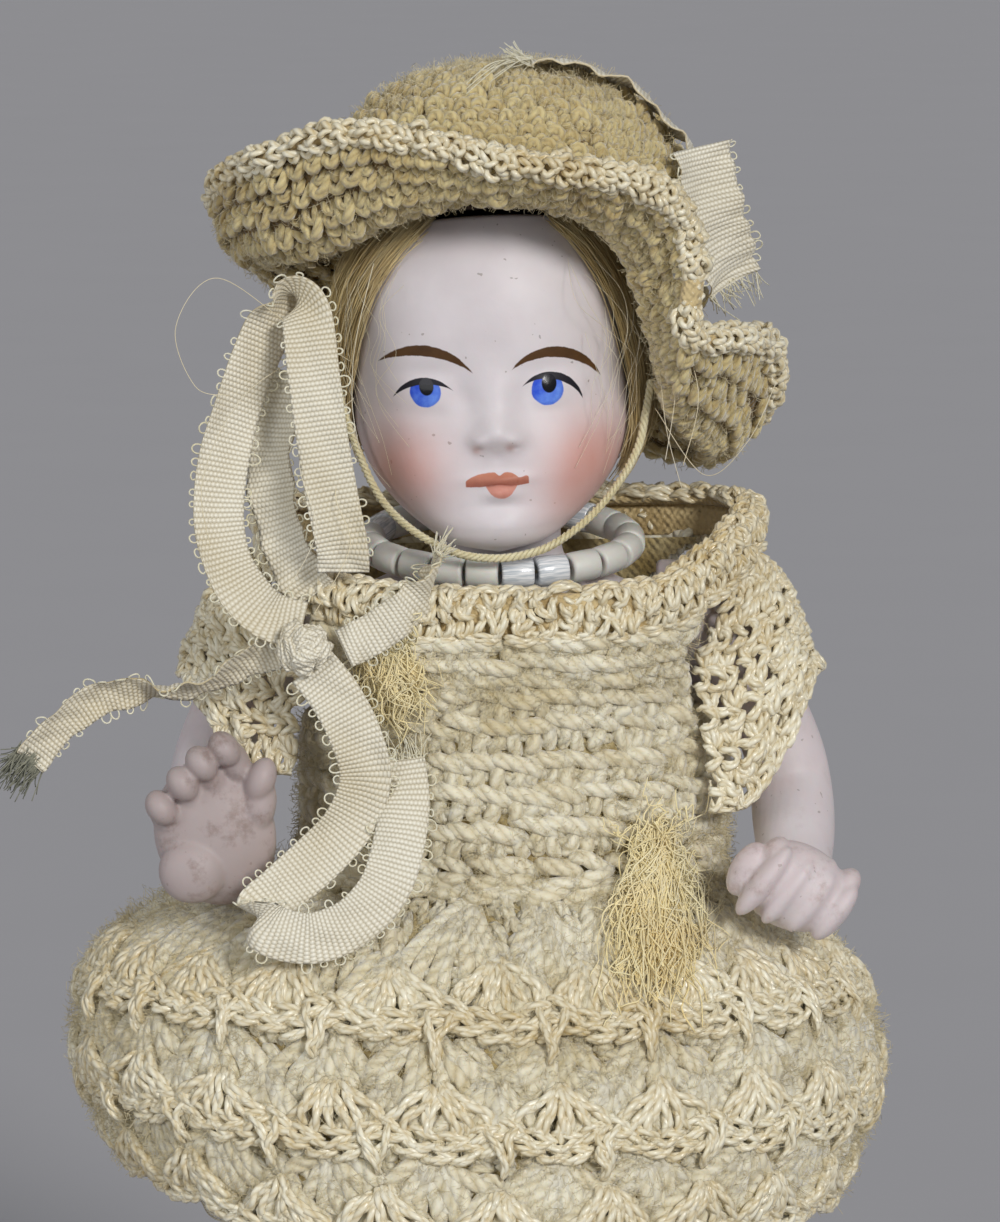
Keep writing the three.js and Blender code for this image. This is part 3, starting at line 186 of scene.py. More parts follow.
class Surface:
    """A smooth sheet through rows of points: u runs along a row, v from the first row to the last."""

    def __init__(self, grid, closed=True):
        self.grid = np.asarray(grid, float)
        self.closed = closed

    def at(self, u, v):
        rows, columns = self.grid.shape[:2]
        u, v = np.broadcast_arrays(np.asarray(u, float), np.asarray(v, float))
        across, across_weights = spline_places(u * (columns if self.closed else columns - 1),
                                               columns, self.closed)
        down, down_weights = spline_places(v * (rows - 1), rows, False)
        picked = self.grid[down[..., :, None], across[..., None, :]]
        return np.einsum("...i,...j,...ijd->...d", down_weights, across_weights, picked)

    def lifted(self, u, v, lift, side=1):
        """Points held off the sheet, and the sheet's normals there."""
        step = 2e-3
        v = np.clip(v, step, 1 - step)
        along = self.at(u + step, v) - self.at(u - step, v)
        down = self.at(u, v + step) - self.at(u, v - step)
        normal = side * unit(np.cross(down, along))
        return self.at(u, v) + normal * np.asarray(lift)[..., None], normal

    def girth(self, v):
        ring = self.at(np.linspace(0, 1, 121), v)
        return np.linalg.norm(np.diff(ring, axis=0), axis=1).sum()

    def drop(self, u=0.0):
        line = self.at(u, np.linspace(0, 1, 60))
        return np.linalg.norm(np.diff(line, axis=0), axis=1).sum()


# Meshes from arrays
def make_object(name, points, faces, material, uv=None, attributes=None):
    """faces is a list of index arrays, one for each number of corners; uv matches their corners."""
    mesh = bpy.data.meshes.new(name)
    loops = np.concatenate([np.ravel(part) for part in faces]).astype(np.int32)
    sizes = np.concatenate([np.full(len(part), part.shape[1]) for part in faces])
    starts = np.concatenate([[0], np.cumsum(sizes)[:-1]]).astype(np.int32)
    mesh.vertices.add(len(points))
    mesh.vertices.foreach_set("co", ((points + BODY_SHIFT) * MM).astype(np.float32).ravel())
    mesh.loops.add(len(loops))
    mesh.loops.foreach_set("vertex_index", loops)
    mesh.polygons.add(len(sizes))
    mesh.polygons.foreach_set("loop_start", starts)
    if uv is not None:
        layer = mesh.uv_layers.new(name="UVMap")
        layer.uv.foreach_set("vector", np.concatenate([np.ravel(part) for part in uv]).astype(np.float32))
    for key, values in (attributes or {}).items():
        kind = "FLOAT_VECTOR" if values.ndim == 2 else "FLOAT"
        field = "vector" if values.ndim == 2 else "value"
        mesh.attributes.new(key, kind, "POINT").data.foreach_set(field, values.astype(np.float32).ravel())
    mesh.update(calc_edges=True)
    mesh.validate()
    mesh.polygons.foreach_set("use_smooth", np.ones(len(mesh.polygons), bool))
    mesh.materials.append(material)
    return in_scene(name, mesh)


def fasten(piece, *nodes, slot, body="body"):
    """Fastens a piece to its body and hides the solids that it stands for."""
    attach(piece, body)
    if nodes:
        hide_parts(*nodes)


# Yarn, thread and hair, as plies and single strands
PLY_PITCH = 4.0  # millimetres to one turn
PLY_OFFSET = 0.4  # of the strand's radius, out from its middle
PLY_RADIUS = 0.7  # of the strand's radius


class Strands:
    """Tubes of yarn, thread or hair, gathered up and made into one mesh."""

    def __init__(self):
        self.points, self.quads, self.quad_uv, self.tones = [], [], [], []
        self.caps = {}
        self.total = 0

    def add(self, centers, normals, radius, sides=6, tone=None):
        """centers and normals are (strand, step, xyz); radius goes with the steps."""
        centers = np.asarray(centers, float)
        count, steps = centers.shape[:2]
        if count == 0:
            return
        side, up = axes_across(centers, normals)
        turn = full_turn(sides)
        radius = np.broadcast_to(radius, (count, steps))[..., None, None]
        ring = np.cos(turn)[:, None] * side[:, :, None] + np.sin(turn)[:, None] * up[:, :, None]
        self.points.append((centers[:, :, None] + radius * ring).reshape(-1, 3))
        first = self.total + np.arange(count)[:, None, None] * steps * sides
        step = np.arange(steps - 1)[None, :, None] * sides
        i = np.arange(sides)[None, None, :]
        here, there = first + step + i, first + step + (i + 1) % sides
        self.quads.append(np.stack([here, here + sides, there + sides, there], -1).reshape(-1, 4))
        length = lengths_along(centers)
        low = np.broadcast_to(length[:, :-1, None], (count, steps - 1, sides))
        high = np.broadcast_to(length[:, 1:, None], low.shape)
        start = np.broadcast_to(np.arange(sides) / sides, low.shape)
        end = start + 1 / sides
        self.quad_uv.append(np.stack([low, start, high, start, high, end, low, end], -1).reshape(-1, 8))
        order = np.arange(sides)
        ends = np.concatenate([first[:, 0] + order, first[:, 0] + (steps - 1) * sides + order[::-1]])
        self.caps.setdefault(sides, []).append(ends)
        tone = chance.random(count) if tone is None else np.broadcast_to(tone, count)
        self.tones.append(np.repeat(tone, steps * sides))
        self.total += count * steps * sides

    def wind(self, centers, normals, radius, sides, plies):
        """Adds each strand as plies wound round each other."""
        side, up = axes_across(centers, normals)
        length = lengths_along(centers)
        start = chance.random((len(centers), 1))
        radius = np.broadcast_to(radius, centers.shape[:2])
        tone = chance.random(len(centers))
        for k in range(plies):
            turn = ((length / PLY_PITCH + start + k / plies) * TAU)[..., None]
            out = np.cos(turn) * side + np.sin(turn) * up
            self.add(centers + out * radius[..., None] * PLY_OFFSET, normals, radius * PLY_RADIUS,
                     sides, tone=tone)

    def draw(self, route, steps, facing, radius, sides, tone=None):
        """Adds one strand along a route."""
        path = smooth_path(route, steps)[None]
        self.add(path, np.broadcast_to(facing, path.shape), radius, sides, tone)

    def lay(self, name, material, *nodes, slot):
        """Builds the strands and fastens them to the doll's body."""
        fasten(self.build(name, material), *nodes, slot=slot)

    def build(self, name, material):
        faces = [np.concatenate(self.quads)]
        uv = [np.concatenate(self.quad_uv)]
        for ends in self.caps.values():
            joined = np.concatenate(ends)
            faces.append(joined)
            uv.append(np.zeros((len(joined), joined.shape[1] * 2)))
        return make_object(name, np.concatenate(self.points), faces, material, uv,
                           {"tone": np.concatenate(self.tones)})


STRAND_TIP = 0.45  # a strand's end against its middle


def tapered(radius, steps):
    """A strand's radius along its steps, drawn in where its ends dip out of sight."""
    t = np.linspace(-1, 1, steps)
    return radius * (STRAND_TIP + (1 - STRAND_TIP) * np.sqrt(np.clip(1 - t**4, 0, 1)))


def crochet(strands, surface, count, top, bottom, pattern, steps=9, sides=6, offset=0.0,
            lift=0.0, side=1, jitter=0.06, keep=None, plies=1):
    """Works one row: each stitch repeats the pattern's strands, given in stitches along, rows down
    and millimetres off the surface, with a radius."""
    shake = chance.normal(0, jitter, (count, 3))
    for points, radius in pattern:
        path = smooth_path(points, steps)
        wobble = smooth_path(chance.normal(0, jitter * 0.6, (count, 4, 3)), steps)
        x = np.arange(count)[:, None] + offset + path[:, 0] + shake[:, :1] + wobble[..., 0]
        y = path[:, 1] + shake[:, 1:2] * 0.7 + wobble[..., 1]
        h = path[:, 2] + shake[:, 2:] * 1.5 + wobble[..., 2] + lift
        u = x / count
        v = top + (bottom - top) * y
        centers, normals = surface.lifted(u, v, h, side)
        swell = 1 + chance.normal(0, 0.05, (count, 1))
        radii = tapered(radius, steps) * swell
        if keep is not None:
            wanted = keep(centers[:, steps // 2])
            centers, normals, radii = centers[wanted], normals[wanted], radii[wanted]
        if plies > 1:
            strands.wind(centers, normals, radii, sides, plies)
        else:
            strands.add(centers, normals, radii, sides)


def backing(name, surface, material, lifts, columns, rows, keep=None):
    """A sheet of some thickness between two lifts. Under the stitches it is dark, painted shade that shows
    between them.
    """
    u = np.linspace(0, 1, columns, endpoint=not surface.closed)
    v = np.linspace(0, 1, rows)
    grids = [surface.lifted(u[None, :], v[:, None], np.full((rows, columns), lift))[0] for lift in lifts]
    return slab(name, grids, material, surface.closed, keep)


def slab(name, grids, material, closed, keep=None):
    """A closed skin between two grids of points, with the grid's real lengths as its uv."""
    rows, columns = grids[0].shape[:2]
    spans = columns if closed else columns - 1
    r, c = np.meshgrid(np.arange(rows - 1), np.arange(spans), indexing="ij")
    a, b = (r * columns + c).ravel(), (r * columns + (c + 1) % columns).ravel()
    wanted = np.ones(len(a), bool)
    if keep is not None:
        flat = grids[0].reshape(-1, 3)
        wanted = keep((flat[a] + flat[b + columns]) / 2)
    middle = (grids[0] + grids[1]) / 2
    across = np.linalg.norm(np.diff(middle, axis=1, append=middle[:, :1]), axis=2)
    x = np.concatenate([np.zeros((rows, 1)), np.cumsum(across, axis=1)], 1)
    down = np.linalg.norm(np.diff(middle, axis=0), axis=2).mean(1)
    y = np.concatenate([[0], np.cumsum(down)])
    back = rows * columns
    front = np.stack([a, a + columns, b + columns, b], -1)[wanted]
    rear = np.stack([b + back, b + back + columns, a + back + columns, a + back], -1)[wanted]
    x0, x1 = x[:-1, :spans].ravel(), x[:-1, 1:spans + 1].ravel()
    x2, x3 = x[1:, :spans].ravel(), x[1:, 1:spans + 1].ravel()
    y0, y1 = np.repeat(y[:-1], spans), np.repeat(y[1:], spans)
    front_uv = np.stack([x0, y0, x2, y1, x3, y1, x1, y0], -1)[wanted]
    rear_uv = np.stack([x1, y0, x3, y1, x2, y1, x0, y0], -1)[wanted]
    faces, uv = [front, rear], [front_uv, rear_uv]
    if wanted.all():
        first = np.arange(spans)
        beside = (first + 1) % columns
        last = (rows - 1) * columns
        faces.append(np.stack([first, beside, beside + back, first + back], -1))
        faces.append(np.stack([last + first + back, last + beside + back, last + beside, last + first], -1))
        if not closed:
            line = np.arange(rows - 1) * columns
            end = line + columns - 1
            faces.append(np.stack([line + back, line + back + columns, line + columns, line], -1))
            faces.append(np.stack([end, end + columns, end + columns + back, end + back], -1))
        uv.append(np.zeros((sum(map(len, faces[2:])), 8)))
    points = np.concatenate([grids[0].reshape(-1, 3), grids[1].reshape(-1, 3)])
    return make_object(name, points, [np.concatenate(faces)], material, [np.concatenate(uv)])


FUZZ_RADIUS = 0.02


def fuzz(strands, surface, count, lift, length, margin=0.02, side=1, keep=None):
    """Short stray fibres scattered over worked yarn, whose face is at the lift."""
    u, v = chance.random(count), chance.uniform(margin, 1 - margin, count)
    points, normals = surface.lifted(u, v, np.full(count, lift), side)
    if keep is not None:
        wanted = keep(points)
        points, normals = points[wanted], normals[wanted]
    count = len(points)
    lean = unit(chance.normal(0, 1, (count, 3)))
    tip = unit(normals + 0.9 * lean) * (length * (0.4 + chance.random((count, 1))))
    curl = chance.normal(0, 0.25, (count, 3)) * length
    t = np.linspace(0, 1, 4)[:, None]
    centers = points[:, None] + t * tip[:, None] + (t * (1 - t) * 4) * curl[:, None]
    strands.add(centers, np.broadcast_to(lean[:, None], centers.shape), FUZZ_RADIUS, 3)


class Value:
    """A shader's value, which Python's own operators combine."""

    def __init__(self, shader, socket):
        self.shader = shader
        self.socket = socket

    def _join(self, operation, *inputs):
        return self.shader.node("ShaderNodeMath", {"operation": operation}, dict(enumerate(inputs)))

    def __add__(self, other):
        return self._join("ADD", self, other)

    __radd__ = __add__

    def __sub__(self, other):
        return self._join("SUBTRACT", self, other)

    def __rsub__(self, other):
        return self._join("SUBTRACT", other, self)

    def __mul__(self, other):
        return self._join("MULTIPLY", self, other)

    __rmul__ = __mul__

    def __truediv__(self, other):
        return self._join("DIVIDE", self, other)

    def __pow__(self, other):
        return self._join("POWER", self, other)

    def __neg__(self):
        return self * -1.0

    def __abs__(self):
        return self._join("ABSOLUTE", self)

    def sin(self):
        return self._join("SINE", self)

    def exp(self):
        return self._join("EXPONENT", self)

    def low(self, other):
        return self._join("MINIMUM", self, other)

    def high(self, other):
        return self._join("MAXIMUM", self, other)

    def floor(self):
        return self._join("FLOOR", self)

    def clamped(self):
        return self.low(1.0).high(0.0)

    def bell(self, middle, width):
        """1 at the middle, falling away smoothly on both sides."""
        return (-(((self - middle) / width) ** 2.0)).exp()

    def step(self, low, high):
        """Rises smoothly from 0 at low to 1 at high."""
        return self.shader.node("ShaderNodeMapRange", {"interpolation_type": "SMOOTHSTEP"},
                                {0: self, 1: low, 2: high})


def linear(color):
    """A colour of the finish, in 0 to 255, as the linear values that Blender takes."""
    channels = [c / 255 for c in color]
    return tuple(c / 12.92 if c <= 0.04045 else ((c + 0.055) / 1.055) ** 2.4 for c in channels) + (1.0,)


class Shader:
    """One material's nodes."""

    def __init__(self, name):
        self.material = bpy.data.materials.new(name)
        self.material.use_nodes = True
        self.tree = self.material.node_tree
        self.tree.nodes.clear()

    def node(self, kind, settings=None, inputs=None, output=0):
        made = self.tree.nodes.new(kind)
        for key, value in (settings or {}).items():
            setattr(made, key, value)
        for key, value in (inputs or {}).items():
            if isinstance(value, Value):
                self.tree.links.new(value.socket, made.inputs[key])
            else:
                made.inputs[key].default_value = value
        return Value(self, made.outputs[output])

    def mix(self, factor, first, second):
        """From the first colour at 0 to the second at 1; a colour is plain numbers or a shader value."""
        first, second = [linear(color) if isinstance(color, tuple) else color for color in (first, second)]
        return self.node("ShaderNodeMix", {"data_type": "RGBA"}, {0: factor, 6: first, 7: second}, 2)

    def attribute(self, name, output="Fac"):
        return self.node("ShaderNodeAttribute", {"attribute_name": name}, output=output)

    def axes(self, vector):
        return [self.node("ShaderNodeSeparateXYZ", None, {0: vector}, k) for k in range(3)]

    def uv(self):
        return self.axes(self.node("ShaderNodeTexCoord", output="UV"))[:2]

    def place(self):
        return self.node("ShaderNodeTexCoord", output="Object")

    def noise(self, scale, detail=2.0, roughness=0.5, vector=None):
        return self.node("ShaderNodeTexNoise", None,
                         {"Vector": vector or self.place(), "Scale": scale, "Detail": detail,
                          "Roughness": roughness})

    def bump(self, height, distance):
        return self.node("ShaderNodeBump", None, {"Height": height, "Distance": distance})

    def finish(self, **inputs):
        named = {key.replace("_", " "): value for key, value in inputs.items()}
        body = self.node("ShaderNodeBsdfPrincipled", None, named)
        self.surface(body)
        return self.material

    def surface(self, shading):
        end = self.tree.nodes.new("ShaderNodeOutputMaterial")
        self.tree.links.new(shading.socket, end.inputs["Surface"])


# Yarn finishes: plies wound round each strand, told by its uv (length in mm, turn)
YARN_GLOW = (1.0, 0.82, 0.55)  # how far red, green and blue light spread in the fibres


def yarn_material(name, light, dark, plies, twist, ply_depth, rough, sheen, fibre_depth, ply_gap_shade=0.25,
                  glow_weight=0.25):
    """Spun yarn, from its light to its dark colour. The plies turn once in plies times twist
    millimetres, and the ply-gap weight sets how far painted shade darkens the gaps between them."""
    s = Shader(name)
    length, turn = s.uv()
    tone = s.attribute("tone")
    wound = abs((turn * (plies * math.pi) + length * (math.pi / twist)).sin())
    drawn = s.node("ShaderNodeCombineXYZ", None, {0: length * 1.3, 1: turn * 9.0, 2: tone * 40.0})
    fibre = s.noise(1.0, 3, 0.7, drawn)
    patches = s.noise(160, 3)
    soil = s.noise(60, 2)
    worn = (fibre - 0.5) * (fibre_depth * 4.0)
    # Painted shade: the gaps between the plies, where wound is low, are darkened; tone, patches, soil and
    # worn vary the yarn's own colour.
    shade = tone * 0.3 + patches * 0.4 + (1 - wound) * ply_gap_shade - 0.12 + soil.step(0.5, 0.75) * 0.3 + worn
    color = s.mix(shade.clamped(), light, dark)
    height = wound * ply_depth + fibre * fibre_depth
    return s.finish(Base_Color=color, Roughness=rough, Sheen_Weight=sheen, Sheen_Roughness=0.5,
                    Subsurface_Weight=glow_weight, Subsurface_Radius=YARN_GLOW, Subsurface_Scale=0.7 * MM,
                    Normal=s.bump(height, 1.0 * MM))


def cloth_material(name, light, dark, scale, depth, rough=0.9):
    """Plain cloth behind or under the rest: a fine weave with patches of age. In dark colours under the
    stitches it is painted shade.
    """
    s = Shader(name)
    x, y, z = s.axes(s.place())
    pitch = TAU / (scale * MM)
    weave = (x * pitch).sin() * (z * pitch).sin() * (y * pitch).sin()
    patches = s.noise(220, 4, 0.6)
    color = s.mix(patches.step(0.35, 0.7), light, dark)
    height = weave * depth * 0.5 + s.noise(2600, 3) * depth
    return s.finish(Base_Color=color, Roughness=rough, Sheen_Weight=0.3,
                    Normal=s.bump(height, 1.0 * MM))


def ribbon_material():
    """Ribbed silk ribbon: fine ribs across, each broken over the next, with painted shade in the weave's
    hollows.
    """
    s = Shader("ribbon")
    across, along = s.uv()
    rib = 0.42
    warp = 0.36
    row = (along / rib).floor()
    ribs = abs((along * (math.pi / rib)).sin())
    threads = abs((across * (math.pi / warp) + row * (math.pi / 2)).sin())
    height = ribs * 0.6 + threads * 0.4
    patches = s.noise(190, 3)
    age = s.noise(70, 2).step(0.42, 0.7)
    # Painted shade: the low parts of the weave are darkened; patches and age vary the ribbon's own colour.
    shade = ((1 - height) * 0.6 + patches * 0.3 + age * 0.25).low(1.0)
    color = s.mix(shade, (255, 252, 238), (194, 176, 132))
    return s.finish(Base_Color=color, Roughness=0.4, Sheen_Weight=0.35, Sheen_Roughness=0.3,
                    Normal=s.bump(height, 0.13 * MM))


def strand_material(name, colors, rough, sheen=0.2):
    """Hair and floss: each strand has its own tone."""
    s = Shader(name)
    length, turn = s.uv()
    tone = s.attribute("tone")
    drift = s.noise(140, 2)
    first = s.mix(tone, colors[0], colors[1])
    color = s.mix((drift * 1.6 - 0.4).clamped(), first, colors[2])
    scales = (length * 9).sin() * 0.5 + (turn * TAU).sin() * 0.5
    return s.finish(Base_Color=color, Roughness=rough, Sheen_Weight=sheen,
                    Normal=s.bump(scales, 0.01 * MM))


def plain_floor():
    s = Shader("floor")
    grain = s.noise(30, 3)
    color = s.mix(grain, (186, 185, 189), (183, 182, 186))
    return s.finish(Base_Color=color, Roughness=0.9, Normal=s.bump(grain, 0.02 * MM))


# Studio: a plain grey floor under two broad soft lights
LAMPS = [  # name, toward, spread in degrees, strength, colour
    ("key", (0.5, -1.0, 0.46), 14, 1.75, (1.0, 0.985, 0.965)),
    ("fill", (-0.9, -0.85, 0.35), 40, 0.75, (0.97, 0.985, 1.0)),
]
FLOOR_HALF_SIZE = 6.0
SKY_COLOR = (0.95, 0.97, 1.0, 1.0)
SKY_STRENGTH = 0.27


def make_studio():
    size = FLOOR_HALF_SIZE
    mesh = bpy.data.meshes.new("floor")
    mesh.from_pydata([(-size, -size, 0), (size, -size, 0), (size, size, 0), (-size, size, 0)], [],
                     [(0, 1, 2, 3)])
    floor = in_scene("floor", mesh)
    mesh.materials.append(plain_floor())
    for lamp in LAMPS:
        add_lamp(*lamp)
    world = bpy.data.worlds.new("studio")
    bpy.context.scene.world = world
    world.use_nodes = True
    sky = world.node_tree.nodes["Background"]
    sky.inputs["Color"].default_value = SKY_COLOR
    sky.inputs["Strength"].default_value = SKY_STRENGTH
    bpy.context.scene.view_settings.view_transform = "Standard"


def add_lamp(name, toward, spread, strength, color):
    """A distant soft light; spread is how wide it looks, in degrees."""
    data = bpy.data.lights.new(name, "SUN")
    data.angle = math.radians(spread)
    data.energy = strength
    data.color = color
    lamp = in_scene(name, data)
    lamp.rotation_euler = (-Vector(toward)).to_track_quat("-Z", "Y").to_euler()


# Head: slices [z, half width, front y, back y] with the face raised on the front
HEAD_PIVOT_Z = 94
HEAD_ROLL = math.radians(-3)
HEAD_TOP_Z = 127.2
CHIN_Z = 94.2
HEAD_SLICES = [
    [94.2, 0.2, -8.4, -7.6], [95, 3.8, -10.7, -3.5], [96.5, 6.3, -11.7, 1.5],
    [98.5, 8.6, -12.0, 5.6], [101, 10.4, -12.2, 8.4], [104, 11.5, -12.2, 10.8],
    [107, 11.8, -11.9, 12.2], [110, 11.7, -12.2, 12.9], [113, 11.5, -12.4, 13.0],
    [116, 11.1, -12.2, 12.6], [119, 10.3, -11.3, 11.7], [121.5, 9.2, -9.7, 10.3],
    [124, 7.4, -7.4, 8.2], [126, 4.7, -4.3, 5.2], [127.2, 0.2, -0.2, 0.4],
]
# Reliefs [x, z, width, height, depth] on the face
FACE_RELIEFS = [
    [0.3, 107.0, 1.6, 2.6, 0.75], [0.3, 104.6, 1.65, 1.5, 1.4], [-1.3, 104.05, 0.85, 0.75, 0.6],
    [1.9, 104.05, 0.85, 0.75, 0.6], [0.3, 102.6, 0.5, 0.6, -0.1],
    [0.3, 100.75, 2.2, 0.55, 0.6], [0.38, 99.6, 1.4, 0.7, 0.65], [0.35, 98.5, 1.8, 0.5, -0.12],
    [0.35, 96.6, 2.4, 1.5, 0.7], [-5.3, 109.8, 3.0, 0.9, -0.3], [4.9, 109.6, 3.0, 0.9, -0.3],
    [-5.3, 107.9, 2.0, 1.2, 0.2], [4.8, 107.7, 2.0, 1.2, 0.2],
    [-2.5, 107.8, 1.1, 1.5, -0.35], [3.1, 107.8, 1.1, 1.5, -0.35],
    [-5.3, 106.2, 2.4, 0.7, -0.15], [4.9, 106.1, 2.4, 0.7, -0.15],
    [-7.2, 101.6, 3.2, 3.0, 0.8], [7.2, 101.6, 3.2, 3.0, 0.8],
    [-1.2, 103.35, 0.3, 0.22, -0.12], [1.8, 103.35, 0.3, 0.22, -0.12],
]
HEAD_FULLNESS = 0.92
BODY_FULLNESS = 0.85
CROWN_RIM_FRONT_Z = 122.3
CROWN_RIM_BACK_Z = 118.0


def head_point(azimuth, z, lift=0.0, reliefs=True):
    half, front, back = np.moveaxis(profile(HEAD_SLICES, z), -1, 0)
    x, y = oval(azimuth, (front + back) / 2, half + lift, (back - front) / 2 + lift, HEAD_FULLNESS)
    if reliefs:
        facing = np.maximum(np.cos(azimuth), 0)
        for cx, cz, sx, sz, height in FACE_RELIEFS:
            y = y - height * facing * np.exp(-(((x - cx) / sx) ** 2) - ((z - cz) / sz) ** 2)
    return np.stack(np.broadcast_arrays(x, y, z), -1)


def rolled(points):
    """Head coordinates to the doll's, with the head's lean."""
    x, y, z = np.moveaxis(points, -1, 0)
    z = z - HEAD_PIVOT_Z
    cos, sin = math.cos(HEAD_ROLL), math.sin(HEAD_ROLL)
    return np.stack([x * cos + z * sin, y, HEAD_PIVOT_Z - x * sin + z * cos], -1)


def rim_height(y):
    return CROWN_RIM_FRONT_Z + (CROWN_RIM_BACK_Z - CROWN_RIM_FRONT_Z) * (y + 9) / 18


def rim_of(azimuth):
    z = np.full(np.shape(azimuth), CROWN_RIM_FRONT_Z)
    for _ in range(6):
        z = rim_height(head_point(azimuth, z, reliefs=False)[..., 1])
    return z


TORSO_SLICES = [
    [43, 3.6, -3.6, 3.6], [43.8, 5.2, -5.0, 5.0], [45.5, 6.4, -6.2, 6.4], [49, 6.8, -7.2, 7.6],
    [53, 6.8, -7.7, 7.9], [55.6, 6.8, -7.9, 7.8], [56.6, 10.4, -8.0, 7.6], [59, 11.3, -8.3, 7.2],
    [63, 10.7, -7.8, 6.6], [68, 10.6, -7.2, 6.5], [74, 11.4, -7.3, 6.8], [80, 12.4, -7.4, 7.0],
    [85, 12.9, -7.1, 6.8], [88.5, 12.7, -6.4, 6.3], [90.6, 10.8, -5.8, 5.8], [91.8, 7.4, -5.4, 5.6],
    [93, 5.4, -5.2, 5.4], [99, 5.4, -5.0, 5.8],
]


# Columns and rows of the two skins
FACE_GRID = (420, 300)
TORSO_GRID = (96, 120)


def grid_faces(rows, columns, first=0):
    here = first + np.arange((rows - 1) * columns).reshape(rows - 1, columns)
    beside = np.roll(here, -1, axis=1)
    return np.stack([here, beside, beside + columns, here + columns], -1).reshape(-1, 4)


def closed_faces(rows, columns):
    """A tube's faces, its ends closed on the two points that follow the grid."""
    order = np.arange(columns)
    after = (order + 1) % columns
    last = (rows - 1) * columns
    total = rows * columns
    low = np.stack([np.full(columns, total), after, order, order], -1)
    high = np.stack([np.full(columns, total + 1), last + order, last + after, last + after], -1)
    return np.concatenate([grid_faces(rows, columns), low, high])


def make_head_and_torso():
    columns, rows = FACE_GRID
    turn = full_turn(columns) - math.pi
    azimuth = turn - 0.5 * np.sin(turn)
    rim = rim_of(azimuth)
    t = 0.5 - 0.5 * np.cos(math.pi * np.linspace(0.03, 0.62, rows) / 0.62 * 0.5)
    t = (t - t[0]) / (t[-1] - t[0]) * 0.995 + 0.005
    z = CHIN_Z + (rim - CHIN_Z) * t[:, None]
    skin = head_point(azimuth[None, :], z)
    # The crown's cut edge: over the rim and down inside
    lip = np.stack([head_point(azimuth, rim + up, lift, reliefs=False)
                    for up, lift in [(0.12, -0.25), (0.12, -1.6), (-0.6, -2.0), (-6.0, -2.0)]])
    local = np.concatenate([skin, lip])
    all_rows = len(local)
    chin = np.array([[0.0, -8.2, CHIN_Z - 0.05]])
    local_points = np.concatenate([local.reshape(-1, 3), chin])
    head = rolled(local_points)
    cap = np.stack([np.full(columns, all_rows * columns), (np.arange(columns) + 1) % columns,
                    np.arange(columns)], -1)
    body_columns, body_rows = TORSO_GRID
    heights = np.linspace(TORSO_SLICES[0][0], TORSO_SLICES[-1][0], body_rows)
    half, front, back = [part[:, None] for part in profile(TORSO_SLICES, heights).T]
    x, y = oval(full_turn(body_columns), (front + back) / 2, half, (back - front) / 2, BODY_FULLNESS)
    body = np.stack(np.broadcast_arrays(x, y, heights[:, None]), -1).reshape(-1, 3)
    first = len(head)
    bottom = first + len(body)
    floor_point = np.array([[0.0, 0.0, TORSO_SLICES[0][0]]])
    base = np.stack([np.full(body_columns, bottom), first + (np.arange(body_columns) + 1) % body_columns,
                     first + np.arange(body_columns)], -1)
    quads = np.concatenate([grid_faces(all_rows, columns), grid_faces(body_rows, body_columns, first)])
    points = np.concatenate([head, body, floor_point])
    face = np.zeros((len(points), 3))
    face[:len(local_points)] = local_points
    face[len(local_points):] = [0, 20, 60]
    piece = make_object("bisque_head_and_torso", points, [quads, np.concatenate([cap, base])],
                        painted_head(), None, {"face": face})
    fasten(piece, "head_and_torso", slot="bisque")


# Face painting, in head millimetres
BROWS = [((-9.3, 110.7), (-1.5, 109.75), 1.9, 0.98), ((1.77, 109.75), (9.2, 108.5), 2.35, 1.42)]
LIDS = [((-8.2, 107.75), (-3.2, 108.3), 1.36, 0.78), ((2.6, 108.3), (7.6, 106.8), 1.8, 1.18)]
IRISES = [(-5.46, 108.2, 1.29), (4.68, 107.95, 1.34)]
PUPILS = [(-5.36, 108.65, 0.6, 0.74), (4.84, 108.45, 0.62, 0.8)]
BLUSHES = [(-7.8, 101.9, 3.7, 0.62), (8.1, 102.0, 3.5, 0.68), (6.4, 98.8, 3.0, 0.42)]
MOUTH_X = 0.12


def crescent(x, z, tips, sag_top, sag_low):
    """How far inside the crescent between two arcs on one chord a place is."""
    (ax, az), (bx, bz) = tips
    chord = math.hypot(bx - ax, bz - az)
    half = chord / 2
    ux, uz = (bx - ax) / chord, (bz - az) / chord
    mx, mz = (ax + bx) / 2, (az + bz) / 2
    inside = None
    for sag, sign in ((sag_top, 1), (sag_low, -1)):
        radius = (half**2 + sag**2) / (2 * sag)
        drop = sag - radius
        cx, cz = mx - uz * drop, mz + ux * drop
        distance = ((x - cx) ** 2.0 + (z - cz) ** 2.0) ** 0.5
        edge = (radius - distance) * sign
        inside = edge if inside is None else inside.low(edge)
    return inside


def under_arc(x, z, tips, sag):
    """How far below one arc a place is."""
    (ax, az), (bx, bz) = tips
    chord = math.hypot(bx - ax, bz - az)
    radius = ((chord / 2) ** 2 + sag**2) / (2 * sag)
    drop = sag - radius
    cx, cz = (ax + bx) / 2 - (bz - az) / chord * drop, (az + bz) / 2 + (bx - ax) / chord * drop
    return radius - ((x - cx) ** 2.0 + (z - cz) ** 2.0) ** 0.5


def spot(x, z, cx, cz, rx, rz):
    return (((x - cx) / rx) ** 2.0 + ((z - cz) / rz) ** 2.0) ** 0.5


def glow(x, z, cx, cz, size):
    return (-((((x - cx) / size) ** 2.0) + ((z - cz) / size) ** 2.0)).exp()


